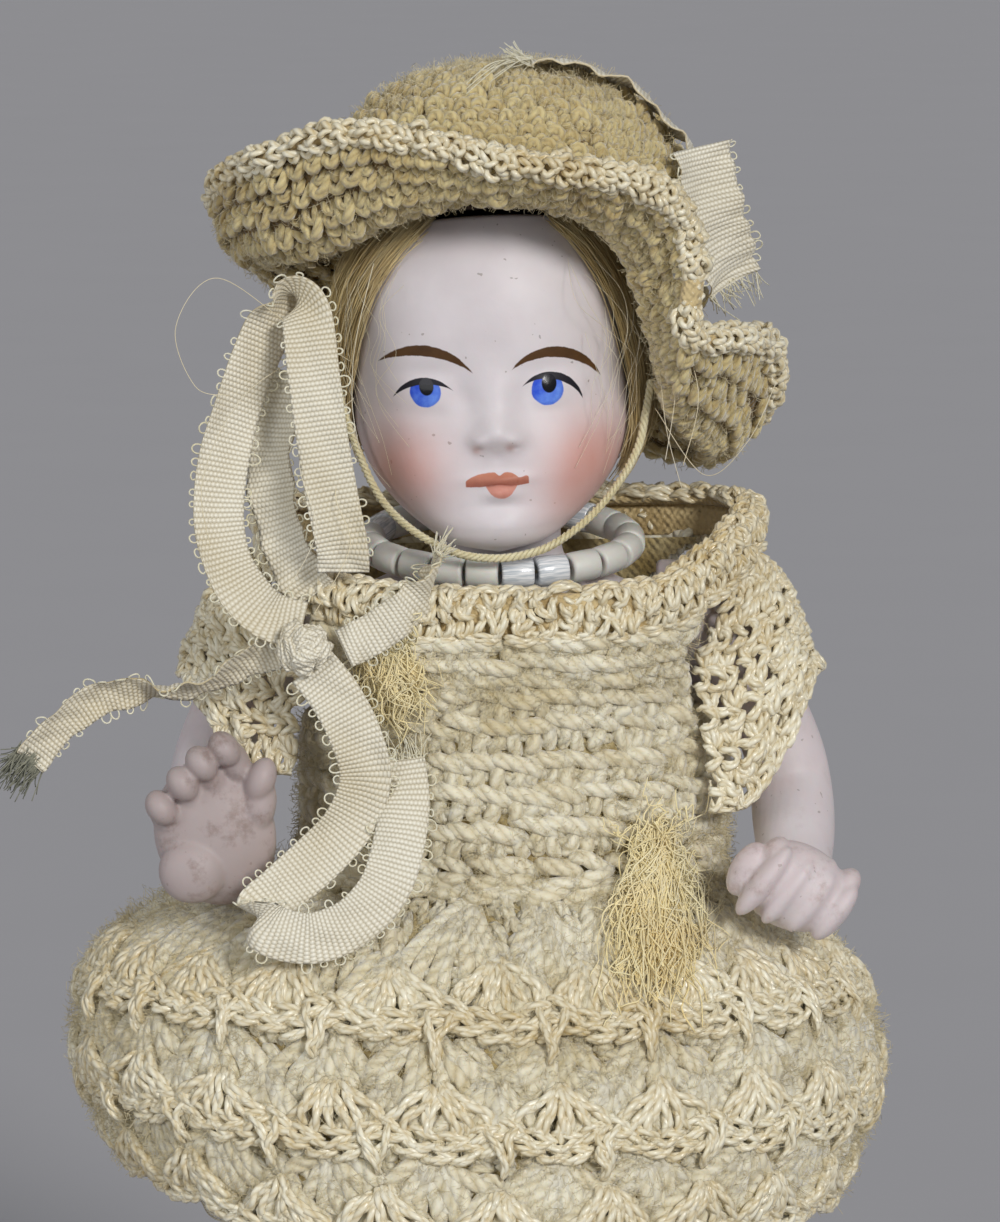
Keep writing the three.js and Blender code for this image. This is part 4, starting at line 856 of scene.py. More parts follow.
def bisque_base(s):
    """Pale fired bisque with faint mottling and a few kiln specks."""
    mottle = s.noise(90, 4, 0.6)
    color = s.mix(mottle.step(0.3, 0.75), (228, 221, 224), (214, 206, 209))
    specks = s.noise(1700, 1, 0.4).step(0.755, 0.775)
    return s.mix(specks * 0.5, color, (120, 105, 95))


def bisque_bump(s):
    return s.bump(s.noise(2400, 3) * 0.6 + s.noise(400, 2) * 0.4, 0.02 * MM)


def painted_head():
    s = Shader("bisque_painted")
    x, y, z = s.axes(s.attribute("face", "Vector"))
    brush = s.noise(1500, 3, 0.6)
    wash = s.noise(420, 3, 0.6)
    front = y.step(2.0, -3.0)
    color = bisque_base(s)
    for cx, cz, size, strength in BLUSHES:
        amount = glow(x, z, cx, cz, size) * strength * (0.8 + wash * 0.4) * front
        color = s.mix(amount.low(0.75), color, (212, 132, 108))
    # Painted shade at the nostrils: a little pinkish-brown tint
    for cx, cz in ((-1.45, 103.3), (1.35, 103.45)):
        color = s.mix(glow(x, z, cx, cz, 0.4) * 0.5 * front, color, (176, 128, 112))
    enamel = 0.0
    for (cx, cz, radius), (px, pz, pw, ph), (a, b, top, low) in zip(IRISES, PUPILS, LIDS):
        under_lid = under_arc(x, z, (a, b), (top + low) / 2)
        away = spot(x, z, cx, cz, radius, radius)
        iris = (1 - (away + (brush - 0.5) * 0.12).step(0.96, 1.04)) * under_lid.step(-0.05, 0.05)
        shade = ((x - cx) * 0.28 - (z - cz) * 0.3 + (brush - 0.5) * 1.5 + 0.45).clamped()
        blue = s.mix(shade, (40, 80, 214), (108, 150, 244))
        edge = away.step(0.72, 1.0) * 0.45
        blue = s.mix(edge, blue, (60, 92, 200))
        color = s.mix(iris * front, color, blue)
        pupil = 1 - spot(x, z, px, pz, pw, ph).step(0.92, 1.08)
        color = s.mix(pupil * front, color, (8, 9, 16))
        enamel = pupil * front + enamel
        lid = crescent(x, z, (a, b), top, low) + (brush - 0.5) * 0.1
        color = s.mix(lid.step(-0.03, 0.05) * front, color, (26, 24, 34))
    for a, b, top, low in BROWS:
        brow = crescent(x, z, (a, b), top, low) + (brush - 0.5) * 0.16
        brown = s.mix((wash * 1.6 - 0.3 + brush * 0.3).clamped(), (62, 40, 18), (92, 62, 32))
        color = s.mix(brow.step(-0.04, 0.06) * front, color, brown)
    color = paint_mouth(s, x, z, color, brush, front)
    return s.finish(Base_Color=color, Roughness=0.5 - enamel * 0.3, Specular_IOR_Level=0.3,
                    Subsurface_Weight=0.06, Subsurface_Scale=0.5 * MM, Coat_Weight=0.03,
                    Coat_Roughness=0.4, Normal=bisque_bump(s))


def paint_mouth(s, x, z, color, brush, front):
    """The upper lip lies between its bow and the parting line, the lower lip hangs below it."""
    across = (x - MOUTH_X) / 2.7
    bow = (1 - across * across).high(0.0) ** 0.55
    dip = x.bell(0.34, 0.3)
    sag = x.bell(2.0, 0.45)
    turned_up = ((x - 1.9) / 0.8).clamped()
    rough_edge = (brush - 0.5) * 0.16
    upper_edge = 100.5 + bow * 0.92 - dip * 0.28 - sag * 0.26 + turned_up * 0.2
    parting = 100.18 + x.bell(0.25, 0.75) * 0.2 + turned_up * 0.1
    upper = ((upper_edge - z) + rough_edge).step(-0.03, 0.06)
    upper = upper * ((z - parting) + rough_edge).step(-0.03, 0.05)
    upper = upper * abs(x - MOUTH_X).step(2.68, 2.58)
    hang = (1 - (abs(x - 0.46) / 1.4) ** 2.4).high(0.0) * 1.22
    lower = ((z - (100.34 - hang)) + rough_edge).step(-0.03, 0.12) * abs(x - 0.46).step(1.4, 1.28)
    lower = lower * ((parting - z) + 0.06).step(-0.03, 0.05)
    color = s.mix(lower * front * 0.9, color, s.mix(brush, (224, 152, 132), (198, 116, 94)))
    thin_paint = ((z - parting) * 0.9 + (brush - 0.5) * 0.6).clamped()
    color = s.mix(upper * front * 0.92, color, s.mix(thin_paint, (162, 82, 56), (200, 124, 92)))
    seam = z.bell(parting, 0.09) * abs(x - 0.4).step(1.5, 0.6)
    return s.mix(seam * front * 0.5, color, (126, 58, 44))


def limb_bisque():
    s = Shader("bisque_limbs")
    x, y = s.axes(s.place())[:2]
    color = bisque_base(s)
    pink = s.noise(110, 3).step(0.3, 0.7)
    color = s.mix(pink * 0.35, color, (212, 186, 184))
    grime = s.noise(340, 5, 0.7).step(0.5, 0.78)
    # The parts furthest forward, the hands, are painted darker and carry more grime.
    reach = y.step(-5 * MM, -12 * MM)
    color = s.mix(grime * (0.15 + reach * 0.5), color, (150, 122, 112))
    color = s.mix(reach * 0.14, color, (176, 150, 144))
    # Painted shade with dirt over the open hand's palm.
    palm = reach * x.step(-12 * MM, -18 * MM)
    color = s.mix(palm * (0.6 + grime * 0.4), color, (146, 128, 122))
    return s.finish(Base_Color=color, Roughness=0.55, Subsurface_Weight=0.1, Subsurface_Scale=0.6 * MM,
                    Normal=bisque_bump(s))


# Limbs: rounded bodies grown into one skin, then smoothed
def ball(center, radii, turn=0.0):
    """Points and faces of a rounded body; turn is about Y, in degrees."""
    rows, columns = 24, 36
    v, u = np.meshgrid(np.linspace(0, math.pi, rows), full_turn(columns), indexing="ij")
    rx, ry, rz = radii
    x, y, z = rx * np.sin(v) * np.cos(u), ry * np.sin(v) * np.sin(u), rz * np.cos(v)
    a = math.radians(turn)
    points = np.stack([x * math.cos(a) + z * math.sin(a), y, z * math.cos(a) - x * math.sin(a)], -1)
    return points.reshape(-1, 3) + center, grid_faces(rows, columns)


def pipe(stations, steps=60):
    """Points and faces of a limb through stations [x, y, z, radius]."""
    columns = 28
    path = smooth_path(np.asarray(stations, float), steps)
    centers, radius = path[:, :3], path[:, 3:]
    side, up = axes_across(centers, [0.3, 1.0, 0.1])
    turn = full_turn(columns)
    ring = side[:, None] * np.cos(turn)[:, None] + up[:, None] * np.sin(turn)[:, None]
    points = (centers[:, None] + radius[:, None] * ring).reshape(-1, 3)
    ends = np.stack([centers[0], centers[-1]])
    return np.concatenate([points, ends]), closed_faces(steps, columns)


def grown(name, parts, voxel, smoothing, material, mirror=False):
    """Joins the parts' skins into one and smooths where they meet."""
    points, faces, total = [], [], 0
    for part_points, part_faces in parts:
        points.append(part_points)
        faces += [[int(k) + total for k in dict.fromkeys(face)] for face in part_faces.tolist()]
        total += len(part_points)
    faces = [face for face in faces if len(face) > 2]
    joined = np.concatenate(points) * ([-1, 1, 1] if mirror else [1, 1, 1])
    mesh = bpy.data.meshes.new(name)
    mesh.from_pydata(((joined + BODY_SHIFT) * MM).tolist(), [], faces)
    piece = in_scene(name, mesh)
    remesh = piece.modifiers.new("join", "REMESH")
    remesh.mode = "VOXEL"
    remesh.voxel_size = voxel * MM
    relax = piece.modifiers.new("relax", "SMOOTH")
    relax.iterations = smoothing
    relax.factor = 0.5
    graph = bpy.context.evaluated_depsgraph_get()
    finished = bpy.data.meshes.new_from_object(piece.evaluated_get(graph))
    piece.modifiers.clear()
    piece.data = finished
    finished.polygons.foreach_set("use_smooth", np.ones(len(finished.polygons), bool))
    finished.materials.clear()
    finished.materials.append(material)
    return piece


ARM_INNER_X = 13.3
SHOULDER_RADIUS = 4.4
SHOULDER_THICKNESS = 5.2
# Stations from the shoulder [x, y, z, radius]
ARM_STATIONS = [
    [2.9, 0, 0.6, 2.2], [3.9, 0.1, -1.4, 3.6], [6.3, 0.3, -4.4, 3.7], [9, 0.6, -7.8, 3.4],
    [10.8, 0.9, -11.8, 3.4], [11.5, 0.6, -15, 3.5], [11.7, -1.8, -17.8, 3.5], [11.7, -5.2, -19.8, 3.2],
    [11.6, -8.6, -21, 2.7],
]


def from_shoulder(points):
    offset = [ARM_INNER_X, 0, SHOULDER_Z] + [0] * (np.shape(points)[-1] - 3)
    return np.asarray(points, float) + offset


def arm_parts():
    middle = ARM_INNER_X + SHOULDER_THICKNESS / 2
    flat = [[ARM_INNER_X, 0, SHOULDER_Z, SHOULDER_RADIUS - 0.25],
            [ARM_INNER_X + 0.3, 0, SHOULDER_Z, SHOULDER_RADIUS],
            [middle, 0, SHOULDER_Z, SHOULDER_RADIUS]]
    cap = ball([middle, 0, SHOULDER_Z], [SHOULDER_THICKNESS / 2, SHOULDER_RADIUS, SHOULDER_RADIUS])
    return [pipe(flat, 12), cap, pipe(from_shoulder(ARM_STATIONS))]


def closed_hand():
    """Four finger rolls folded over the palm, and the thumb lying along them."""
    parts = [ball(from_shoulder([11.3, -11.8, -21.6]), [4.7, 3.2, 3.7], 24)]
    for k in range(4):
        x, y, z = 8.7 + 2.0 * k, -14.0 + 0.35 * k, -20.8 - 0.95 * k
        parts.append(ball(from_shoulder([x, y, z]), [1.08, 1.75, 3.6 - 0.25 * k], 38))
        parts.append(ball(from_shoulder([x + 0.9, y + 1.5, z + 2.0]), [1.12, 1.9, 1.7], 38))
    parts.append(ball(from_shoulder([7.3, -12.6, -20.0]), [1.35, 1.5, 2.5], 30))
    return parts


FINGER_TIPS = [[15.0, -12.7, -14.8], [13.2, -13.1, -12.7], [11.6, -13.1, -11.0], [9.7, -12.8, -9.8]]


def open_hand():
    """A cupped palm with its fingertips curled forward over the top."""
    parts = [ball(from_shoulder([10.6, -10.6, -17.3]), [5.1, 2.7, 6.2], 14),
             ball(from_shoulder([12.4, -12.2, -20.2]), [2.9, 1.9, 2.8], 14)]
    for x, y, z in FINGER_TIPS:
        parts.append(ball(from_shoulder([x, y, z]), [1.25, 1.6, 1.6], 35))
        parts.append(ball(from_shoulder([x - 0.55, y + 1.9, z - 1.2]), [1.35, 1.9, 2.4], 35))
    parts.append(ball(from_shoulder([6.7, -11.9, -12.6]), [1.25, 1.7, 2.0], -20))
    parts.append(ball(from_shoulder([6.9, -11.3, -14.6]), [1.5, 1.7, 2.6], -5))
    return parts


def make_arms():
    skin = limb_bisque()
    left = grown("left_arm_bisque", arm_parts() + closed_hand(), 0.2, 4, skin)
    fasten(left, "left_arm", slot="bisque", body="left_arm_body")
    right = grown("right_arm_bisque", arm_parts() + open_hand(), 0.2, 4, skin, mirror=True)
    fasten(right, "right_arm", slot="bisque", body="right_arm_body")


# Legs: slices [z, inner x, outer x, front y, back y], x from the hip's inner face
LEG_INNER_X = 7.2
HIP_RADIUS = 6.2
HIP_THICKNESS = 6.2
HIP_ROUNDING = 3.0  # the outer part that is rounded off
LEG_SLICES = [
    [0, -2.3, 4.8, -10.4, 4.4], [1.2, -2.5, 5.0, -10.8, 4.6], [3, -2.3, 4.8, -9.6, 4.4],
    [5, -2.1, 4.5, -6.4, 4.1], [7.2, -1.9, 4.1, -4.0, 3.8], [10, -2.0, 4.0, -3.3, 3.6],
    [14, -2.4, 4.4, -3.6, 4.2], [19, -2.7, 4.8, -4.1, 4.8], [24, -2.6, 4.8, -4.3, 4.1],
    [28, -2.5, 5.0, -4.6, 4.3], [34, -2.5, 5.8, -5.3, 4.9], [37, -1.9, 6.2, -5.6, 5.2],
    [40, -0.1, 6.4, -5.8, 5.5], [44, 0, 6.4, -5.9, 5.8], [48, 0, 6.2, -5.6, 5.6],
]
LEG_TOP_Z = 48
SOCK_TOP_Z = 19.0


def leg_skin():
    columns, rows = 48, 90
    heights = np.concatenate([[0, 0, 0.15, 0.5], np.linspace(1, LEG_TOP_Z, rows - 4)])
    inner, outer, front, back = [part[:, None] for part in profile(LEG_SLICES, heights).T]
    shrink = np.ones((rows, 1))
    shrink[:3, 0] = [0.05, 0.93, 0.97]
    half, depth = (outer - inner) / 2 * shrink, (back - front) / 2 * shrink
    x, y = oval(full_turn(columns), (front + back) / 2, half, depth, BODY_FULLNESS)
    x = LEG_INNER_X + (inner + outer) / 2 + x
    points = np.stack(np.broadcast_arrays(x, y, heights[:, None]), -1).reshape(-1, 3)
    tips = [[LEG_INNER_X + 1.2, -3, 0], [LEG_INNER_X + 3, 0, LEG_TOP_Z]]
    return np.concatenate([points, tips]), closed_faces(rows, columns)


def leg_bisque():
    """Bisque legs with painted slippers, and socks that end in a coloured band."""
    s = Shader("bisque_legs")
    y, z = s.axes(s.place())[1:]
    wobble = (s.noise(700, 2) - 0.5) * 0.0003
    color = bisque_base(s)
    ribs = abs((z * (math.pi / (0.7 * MM))).sin())
    sock = 1 - (z + wobble).step((SOCK_TOP_Z - 0.1) * MM, (SOCK_TOP_Z + 0.1) * MM)
    color = s.mix(sock * 0.7, color, s.mix(ribs, (236, 234, 230), (246, 245, 242)))
    band = sock * (z + wobble).step((SOCK_TOP_Z - 1.4) * MM, (SOCK_TOP_Z - 1.2) * MM)
    color = s.mix(band * 0.85, color, (112, 140, 190))
    front = -y / MM - BODY_SHIFT[1]
    vamp = (4.2 - (front - 5.6).low(0.0) * -0.42) * MM
    shoe = 1 - (z + wobble).step(vamp - 0.1 * MM, vamp + 0.1 * MM)
    strap = (1 - abs(z - 8.2 * MM).step(0.5 * MM, 0.65 * MM))
    color = s.mix(shoe.high(strap), color, (74, 46, 34))
    rough = 0.5 - shoe.high(strap) * 0.28
    return s.finish(Base_Color=color, Roughness=rough, Normal=bisque_bump(s))


def make_legs():
    hip = [LEG_INNER_X + HIP_THICKNESS - HIP_ROUNDING, 0, HIP[2]]
    disc = [[LEG_INNER_X, 0, HIP[2], HIP_RADIUS - 0.25], [LEG_INNER_X + 0.3, 0, HIP[2], HIP_RADIUS],
            [hip[0], 0, HIP[2], HIP_RADIUS]]
    skin = leg_bisque()
    for side, mirror in (("left", False), ("right", True)):
        parts = [leg_skin(), pipe(disc, 12), ball(hip, [HIP_ROUNDING + 0.2, HIP_RADIUS, HIP_RADIUS])]
        leg = grown(f"{side}_leg_bisque", parts, 0.3, 5, skin, mirror)
        fasten(leg, f"{side}_leg", slot="bisque", body=f"{side}_leg_body")


# Stringing wires through the shoulders and the hips
WIRE_RADIUS = 0.45
WIRE_HOOK = 2.0
WIRE_GAP = 0.3


def wire_metal():
    s = Shader("string_wire")
    grain = s.noise(1900, 3)
    rust = s.noise(500, 4).step(0.5, 0.7)
    color = s.mix(rust * 0.6, (116, 112, 106), (98, 70, 52))
    return s.finish(Base_Color=color, Metallic=0.9 - rust * 0.5, Roughness=0.4 + rust * 0.4,
                    Normal=s.bump(grain, 0.01 * MM))


def make_wires():
    metal = wire_metal()
    spans = {"arm_wire": (ARM_INNER_X + SHOULDER_THICKNESS, SHOULDER_Z),
             "leg_wire": (LEG_INNER_X + HIP_THICKNESS + 0.2, HIP[2])}
    for name, (outer, z) in spans.items():
        bend = outer + WIRE_GAP + WIRE_RADIUS
        half = [[0, 0, z], [bend - 2.5, 0, z], [bend - 0.6, 0, z], [bend, 0, z + 1]]
        half.append([bend, 0, z + WIRE_HOOK])
        route = [[-x, y, h] for x, y, h in half[:0:-1]] + half
        wire = Strands()
        wire.draw(route, 90, [0.0, 1.0, 0.0], WIRE_RADIUS, 12, tone=0.5)
        wire.lay(f"{name}_metal", metal, name, slot="wire")


# Pate, wig cap and hair follow the head's surface
PATE_THICKNESS = 0.9
WIG_THICKNESS = 0.9
WIG_LOW_Z = 121.4
WIG_FRONT_RISE = 3.8
GAP = 0.3


def scalp(raise_by, low):
    rows, columns = 26, 120
    azimuth = full_turn(columns)
    t = np.sin(np.linspace(0.02, 1, rows) * math.pi / 2)[:, None] ** 1.2
    z = HEAD_TOP_Z - 0.02 + (low(azimuth) - HEAD_TOP_Z + 0.02) * t
    points = head_point(azimuth, z, raise_by, reliefs=False)
    points[..., 2] += raise_by * ease(z, HEAD_TOP_Z - 8, HEAD_TOP_Z)
    return points


def pate_material():
    s = Shader("pate_card")
    layers = s.noise(1200, 4, 0.7)
    color = s.mix(s.noise(300, 3), (50, 34, 26), (74, 54, 42))
    return s.finish(Base_Color=color, Roughness=0.9, Normal=s.bump(layers, 0.06 * MM))


def make_scalp():
    middle = PATE_THICKNESS / 2 + 0.1
    under = [rolled(scalp(middle + side * PATE_THICKNESS / 2, lambda a: rim_of(a) + 0.6))
             for side in (1, -1)]
    fasten(slab("pate_card", under, pate_material(), True), "crown_pate", slot="pate")
    raised = middle + (PATE_THICKNESS + WIG_THICKNESS) / 2 + 1.6 * GAP

    def cap_low(azimuth):
        return WIG_LOW_Z + WIG_FRONT_RISE * np.maximum(np.cos(azimuth), 0) ** 0.5

    over = [rolled(scalp(raised + side * WIG_THICKNESS / 2, cap_low)) for side in (1, -1)]
    linen = cloth_material("wig_linen", (206, 196, 168), (170, 156, 122), 0.5, 0.1)
    fasten(slab("wig_linen", over, linen, True), "wig_cap", slot="linen")


HAIR_RADII = (0.03, 0.05)


def lock(strands, stations, count, spread):
    """Hair along stations [azimuth in degrees, z, raise] on the head, each hair a little to one side."""
    stations = np.asarray(stations, float)
    drift = chance.normal(0, 1, (count, 1, 3)) * spread
    wander = chance.normal(0, 0.45, (count, len(stations), 3)) * spread
    across = chance.uniform(-1, 1, (count, 1))
    path = smooth_path(stations[None] + drift + wander, 16)
    turn = np.radians(path[..., 0] + across * 3)
    lift = 0.25 + np.abs(path[..., 2] - 0.25)
    points = rolled(head_point(turn, path[..., 1], lift, reliefs=False))
    normals = unit(points - [0, 1, 108])
    strands.add(points, normals, chance.uniform(*HAIR_RADII, (count, 1)), 3)


# The hair's front line on each side: [azimuth in degrees, z]
HAIRLINES = {
    1: [[36, 122.6], [50, 120.0], [61, 115.6], [69, 110.4], [75, 105.4], [82, 101.6]],
    -1: [[-30, 122.4], [-47, 119.6], [-62, 115.2], [-74, 110.0], [-84, 106.6], [-92, 104.4]],
}


SIDE_LOCKS = 9
BACK_LOCKS = 15
# At each of the front line's points: how far the hair stands off, and how many degrees it goes back
HAIR_SWELL = [0.35, 0.8, 1.2, 1.4, 1.3, 1.1]
HAIR_REACH = [34, 30, 28, 26, 24, 22]
# A lock's spread in [degrees, z, raise]
SIDE_SPREAD = np.array([2.0, 0.7, 0.28])
BACK_SPREAD = np.array([3.4, 0.8, 0.25])


def make_hair():
    mohair = strand_material("mohair", ((252, 236, 184), (226, 200, 136), (184, 154, 92)), 0.36)
    for side, name in ((1, "left"), (-1, "right")):
        hair = Strands()
        front = np.array(HAIRLINES[side], float)
        for k in range(SIDE_LOCKS):
            t = k / (SIDE_LOCKS - 1)
            swell = np.array(HAIR_SWELL) * (0.55 + 0.75 * t)
            turn = front[:, 0] + side * (t * np.array(HAIR_REACH))
            height = front[:, 1] + np.array([0.4, 0.2, 0, 0, 0, 0.8 * math.sin(5 * t)])
            lock(hair, np.stack([turn, height, swell], -1), 120, SIDE_SPREAD)
        hair.lay(f"mohair_{name}", mohair, f"hair_{name}", slot="mohair")
    back = Strands()
    for k in range(BACK_LOCKS):
        turn = 106 + 148 * k / (BACK_LOCKS - 1)
        stations = [[turn, 118, 0.5], [turn + 2, 113, 0.9], [turn - 2, 108, 1.0], [turn, 103.2, 1.0]]
        lock(back, stations, 90, BACK_SPREAD)
    back.lay("mohair_back", mohair, "hair_back", slot="mohair")
    make_stray_hairs()


# Long hairs that have come loose round the face and the hat
STRAY_HAIRS = [
    [[-12.5, -6.5, 110], [-17.5, -11, 113.6], [-23.5, -13, 117.6], [-26.8, -13.5, 113.5],
     [-25.2, -13.2, 108.6], [-22.4, -12.5, 107.8]],
    [[-12.2, -7, 107], [-16.5, -13.8, 103], [-15.2, -15.6, 97], [-17.6, -16.2, 92]],
    [[-11.9, -8, 104], [-13.6, -14.6, 100], [-12.4, -15.8, 95.6], [-15.4, -16.6, 90]],
    [[-10.5, -9.5, 118.5], [-12, -10.6, 112], [-12.3, -10.4, 107], [-11.7, -10.2, 103]],
    [[11.5, -8, 118], [14, -10.2, 113], [14.6, -9.8, 108], [13.8, -9.2, 102]],
    [[12, -7.5, 116], [13.2, -9.5, 110], [13.9, -9, 104.5], [15.2, -8, 99.5]],
    [[8, -10.5, 121], [13, -11.2, 116], [16.4, -11.8, 108.5], [15.2, -12.8, 102]],
    [[13, -6, 106], [17, -11, 101], [20.5, -13.2, 104], [22.8, -14, 109]],
    [[-13.5, -6, 112], [-21, -12.6, 108], [-24.6, -14, 101], [-24, -14.5, 95.4]],
]


STRAY_FACING = [0.0, -1.0, 0.2]
FINE_HAIR = 0.018
LONG_HAIR = 0.032
FINE_HAIRS = 34


def make_stray_hairs():
    """Fine hairs beside the cheeks, and the single long ones."""
    stray = Strands()
    for k in range(FINE_HAIRS):
        side = -1 if k % 2 else 1
        turn = side * chance.uniform(38, 72)
        high = chance.uniform(112, 121)
        inward = -side * chance.uniform(-10, 16)
        fall = chance.uniform(7, 16)
        t = np.linspace(0, 1, 5)
        azimuth = np.radians(turn + inward * t**1.4 + chance.normal(0, 3.5, 5))
        lift = 0.5 + chance.uniform(0.5, 2.6) * np.sin(math.pi * t**0.7) + chance.normal(0, 0.12, 5)
        skin = rolled(head_point(azimuth, high - fall * t, np.maximum(lift, 0.5), reliefs=False))
        stray.draw(skin, 40, STRAY_FACING, FINE_HAIR, 3)
    for route in STRAY_HAIRS:
        stray.draw(route, 60, STRAY_FACING, LONG_HAIR, 4)
    colors = ((255, 250, 230), (250, 238, 204), (236, 220, 176))
    pale = strand_material("loose_mohair", colors, 0.3)
    stray.lay("mohair_stray", pale, slot="mohair")


# Yarn stitch patterns: strands as points [stitches along, rows down, millimetres off] and a radius
def mirrored(pattern):
    return [([[1 - x, y, h] for x, y, h in points], radius) for points, radius in pattern]


def in_one_yarn(strands, radius):
    return [(points, radius) for points in strands]


CHAIN_LEG = [[-0.14, 0.22, -0.25], [0.22, 0.16, 0.32], [0.7, 0.34, 0.38], [1.1, 0.54, -0.2]]
CHAIN_STITCH = [CHAIN_LEG, [[x, 1 - y, h] for x, y, h in CHAIN_LEG]]
ROPE_STITCH = [
    ([[-0.24, 0.1, -0.3], [0.12, 0.04, 0.42], [0.62, 0.16, 0.62], [1.04, 0.3, 0.4],
      [1.3, 0.36, -0.2]], 0.72),
    ([[0.1, 0.28, -0.1], [0.04, 0.52, 0.34], [0.04, 0.76, 0.3], [0.12, 1.02, -0.2]], 0.7),
    ([[0.6, 0.34, -0.1], [0.62, 0.56, 0.36], [0.56, 0.78, 0.3], [0.46, 1.02, -0.2]], 0.66),
    ([[-0.1, 0.62, 0.0], [0.3, 0.58, 0.2], [0.7, 0.66, 0.2], [1.1, 0.64, 0.0]], 0.5),
]
LUMP_STITCH = [
    [[-0.1, 0.3, -0.25], [0.2, 0.2, 0.32], [0.6, 0.42, 0.36], [0.85, 0.8, -0.25]],
    [[0.12, 0.85, -0.25], [0.3, 0.6, 0.26], [0.62, 0.76, 0.2], [0.95, 0.96, -0.25]],
]


def wool_material(name):
    return yarn_material(name, (250, 244, 222), (200, 182, 134), 3, 1.4, 0.18, 0.95, 0.6, 0.17,
                         ply_gap_shade=0.3)


def silk_material():
    return yarn_material("silk", (255, 250, 228), (204, 180, 126), 2, 1.3, 0.06, 0.2, 0.1, 0.04,
                         ply_gap_shade=0.45, glow_weight=0.08)


# The dark sheet under the wool stitches is painted shade that shows in the gaps between them.
def wool_shade_backing():
    return cloth_material("wool_shadow", (206, 190, 144), (160, 138, 84), 0.9, 0.25)


# Hat: loops of points from the crown's foot to the brim's belly and its edge
HAT_CENTER = np.array([1.0, 1.5])
HAT_CROWN = [[0, 133.6], [5, 133.4], [9.6, 132.0], [12.9, 129.4], [14.8, 126.0], [15.5, 122.6]]
HAT_FOOT = [[0, 125.6], [90, 115.5], [180, 112.5], [270, 121.0]]
BRIM_BELLY = [
    [0, -17, 124.8], [5.0, -16.6, 124.2], [9.4, -14.2, 121.8], [11.9, -11.8, 117.6], [13.1, -9.4, 112.2],
    [13.8, -6.4, 107.4], [14.6, -2.4, 103.2], [16.0, 2.6, 100.9], [16.6, 7.6, 99.9], [15.0, 12.2, 99.9],
    [9.6, 16, 101.6], [1, 18, 104.6], [-8, 17.4, 108.2], [-15.5, 12.8, 113.0], [-20, 5.2, 117.0],
    [-20.8, -2, 118.2], [-17.2, -8.2, 118.8], [-11.5, -13.4, 122.2], [-6, -16.2, 124.4],
]
BRIM_EDGE = [
    [0, -21, 127.9], [6.5, -21, 127.1], [12.4, -19.5, 125.7], [15.0, -17.2, 123.0], [15.9, -15.8, 118.4],
    [15.8, -14.8, 113.2], [20.2, -8.8, 112.2], [22.7, 1.5, 110.3], [22.9, 7, 105.7], [19.5, 13, 102.2],
    [12, 18.8, 102.2], [2, 21.6, 104.8], [-9, 20.8, 109.4], [-18, 15.4, 115.0], [-22.6, 6.5, 120.0],
    [-23.5, -1.5, 124.0], [-20.5, -9.5, 126.7], [-13, -16.5, 129.7], [-6, -20, 129.3],
]
HAT_COLUMNS = 114
HAT_EDGING_ROLL = 0.62
HAT_EDGING_BEYOND = 0.0  # from the outermost line out to the edging's middle
BRIM_TRIM = 0.5  # from the outermost line back to the brim's own lip


def hat_azimuth(points):
    return np.arctan2(points[..., 0] - HAT_CENTER[0], -(points[..., 1] - HAT_CENTER[1]))


def hat_surfaces():
    belly = smooth_path(BRIM_BELLY, HAT_COLUMNS, closed=True)
    outermost = smooth_path(BRIM_EDGE, HAT_COLUMNS, closed=True)
    lip = outermost + unit(belly - outermost) * BRIM_TRIM
    turn = hat_azimuth(belly)
    foot_z = sum(height * np.maximum(np.cos(turn - math.radians(degrees)), 0) ** 2
                 for degrees, height in HAT_FOOT)
    crown_rows = smooth_path(HAT_CROWN, 21)
    low = np.linspace(0, 1, 21)[:, None]
    radius, height = crown_rows[:, :1], crown_rows[:, 1:]
    drop = (foot_z - HAT_CROWN[-1][1]) * low**3
    crown = np.stack(np.broadcast_arrays(HAT_CENTER[0] + radius * np.sin(turn),
                                         HAT_CENTER[1] - radius * np.cos(turn), height + drop), -1)
    foot = crown[-1]
    control = 2 * belly - (foot + lip) / 2
    control = control + (belly - control) * 0.35
    t = np.linspace(0, 1, 9)[:, None, None]
    brim = foot * (1 - t) ** 2 + control * 2 * t * (1 - t) + lip * t**2
    out = unit(sum(np.roll(unit(outermost - belly), shift, axis=0) for shift in range(-3, 4)))
    return Surface(crown), Surface(brim), outermost + out * HAT_EDGING_BEYOND, out


def levels(surface, count):
    """Row heights v that share the sheet's slope length equally."""
    v = np.linspace(0, 1, 80)
    points = surface.at(np.linspace(0, 1, 24, endpoint=False)[:, None], v)
    gaps = np.linalg.norm(np.diff(points, axis=1), axis=2).mean(0)
    return np.interp(np.linspace(0, gaps.sum(), count + 1), np.concatenate([[0], np.cumsum(gaps)]), v)


HAT_WOOL_PITCH = 1.5
HAT_ROW = 1.45
HAT_STITCH = [
    ([[0.0, 0.75, -0.4], [0.2, 0.34, 0.34], [0.52, 0.2, 0.5], [0.84, 0.4, 0.32], [1.0, 0.78, -0.4]], 0.46),
    ([[0.26, 1.04, -0.3], [0.4, 0.72, 0.18], [0.68, 0.72, 0.16], [0.8, 1.04, -0.3]], 0.4),
]


def work_hat(yarn, surface, rows, lift, side=1):
    for k in range(len(rows) - 1):
        top, bottom = rows[k], rows[k + 1]
        stitches = max(int(surface.girth((top + bottom) / 2) / HAT_WOOL_PITCH), 5)
        crochet(yarn, surface, stitches, top, bottom, HAT_STITCH, steps=8, sides=6, offset=0.37 * k,
                lift=lift, side=side, jitter=0.1)


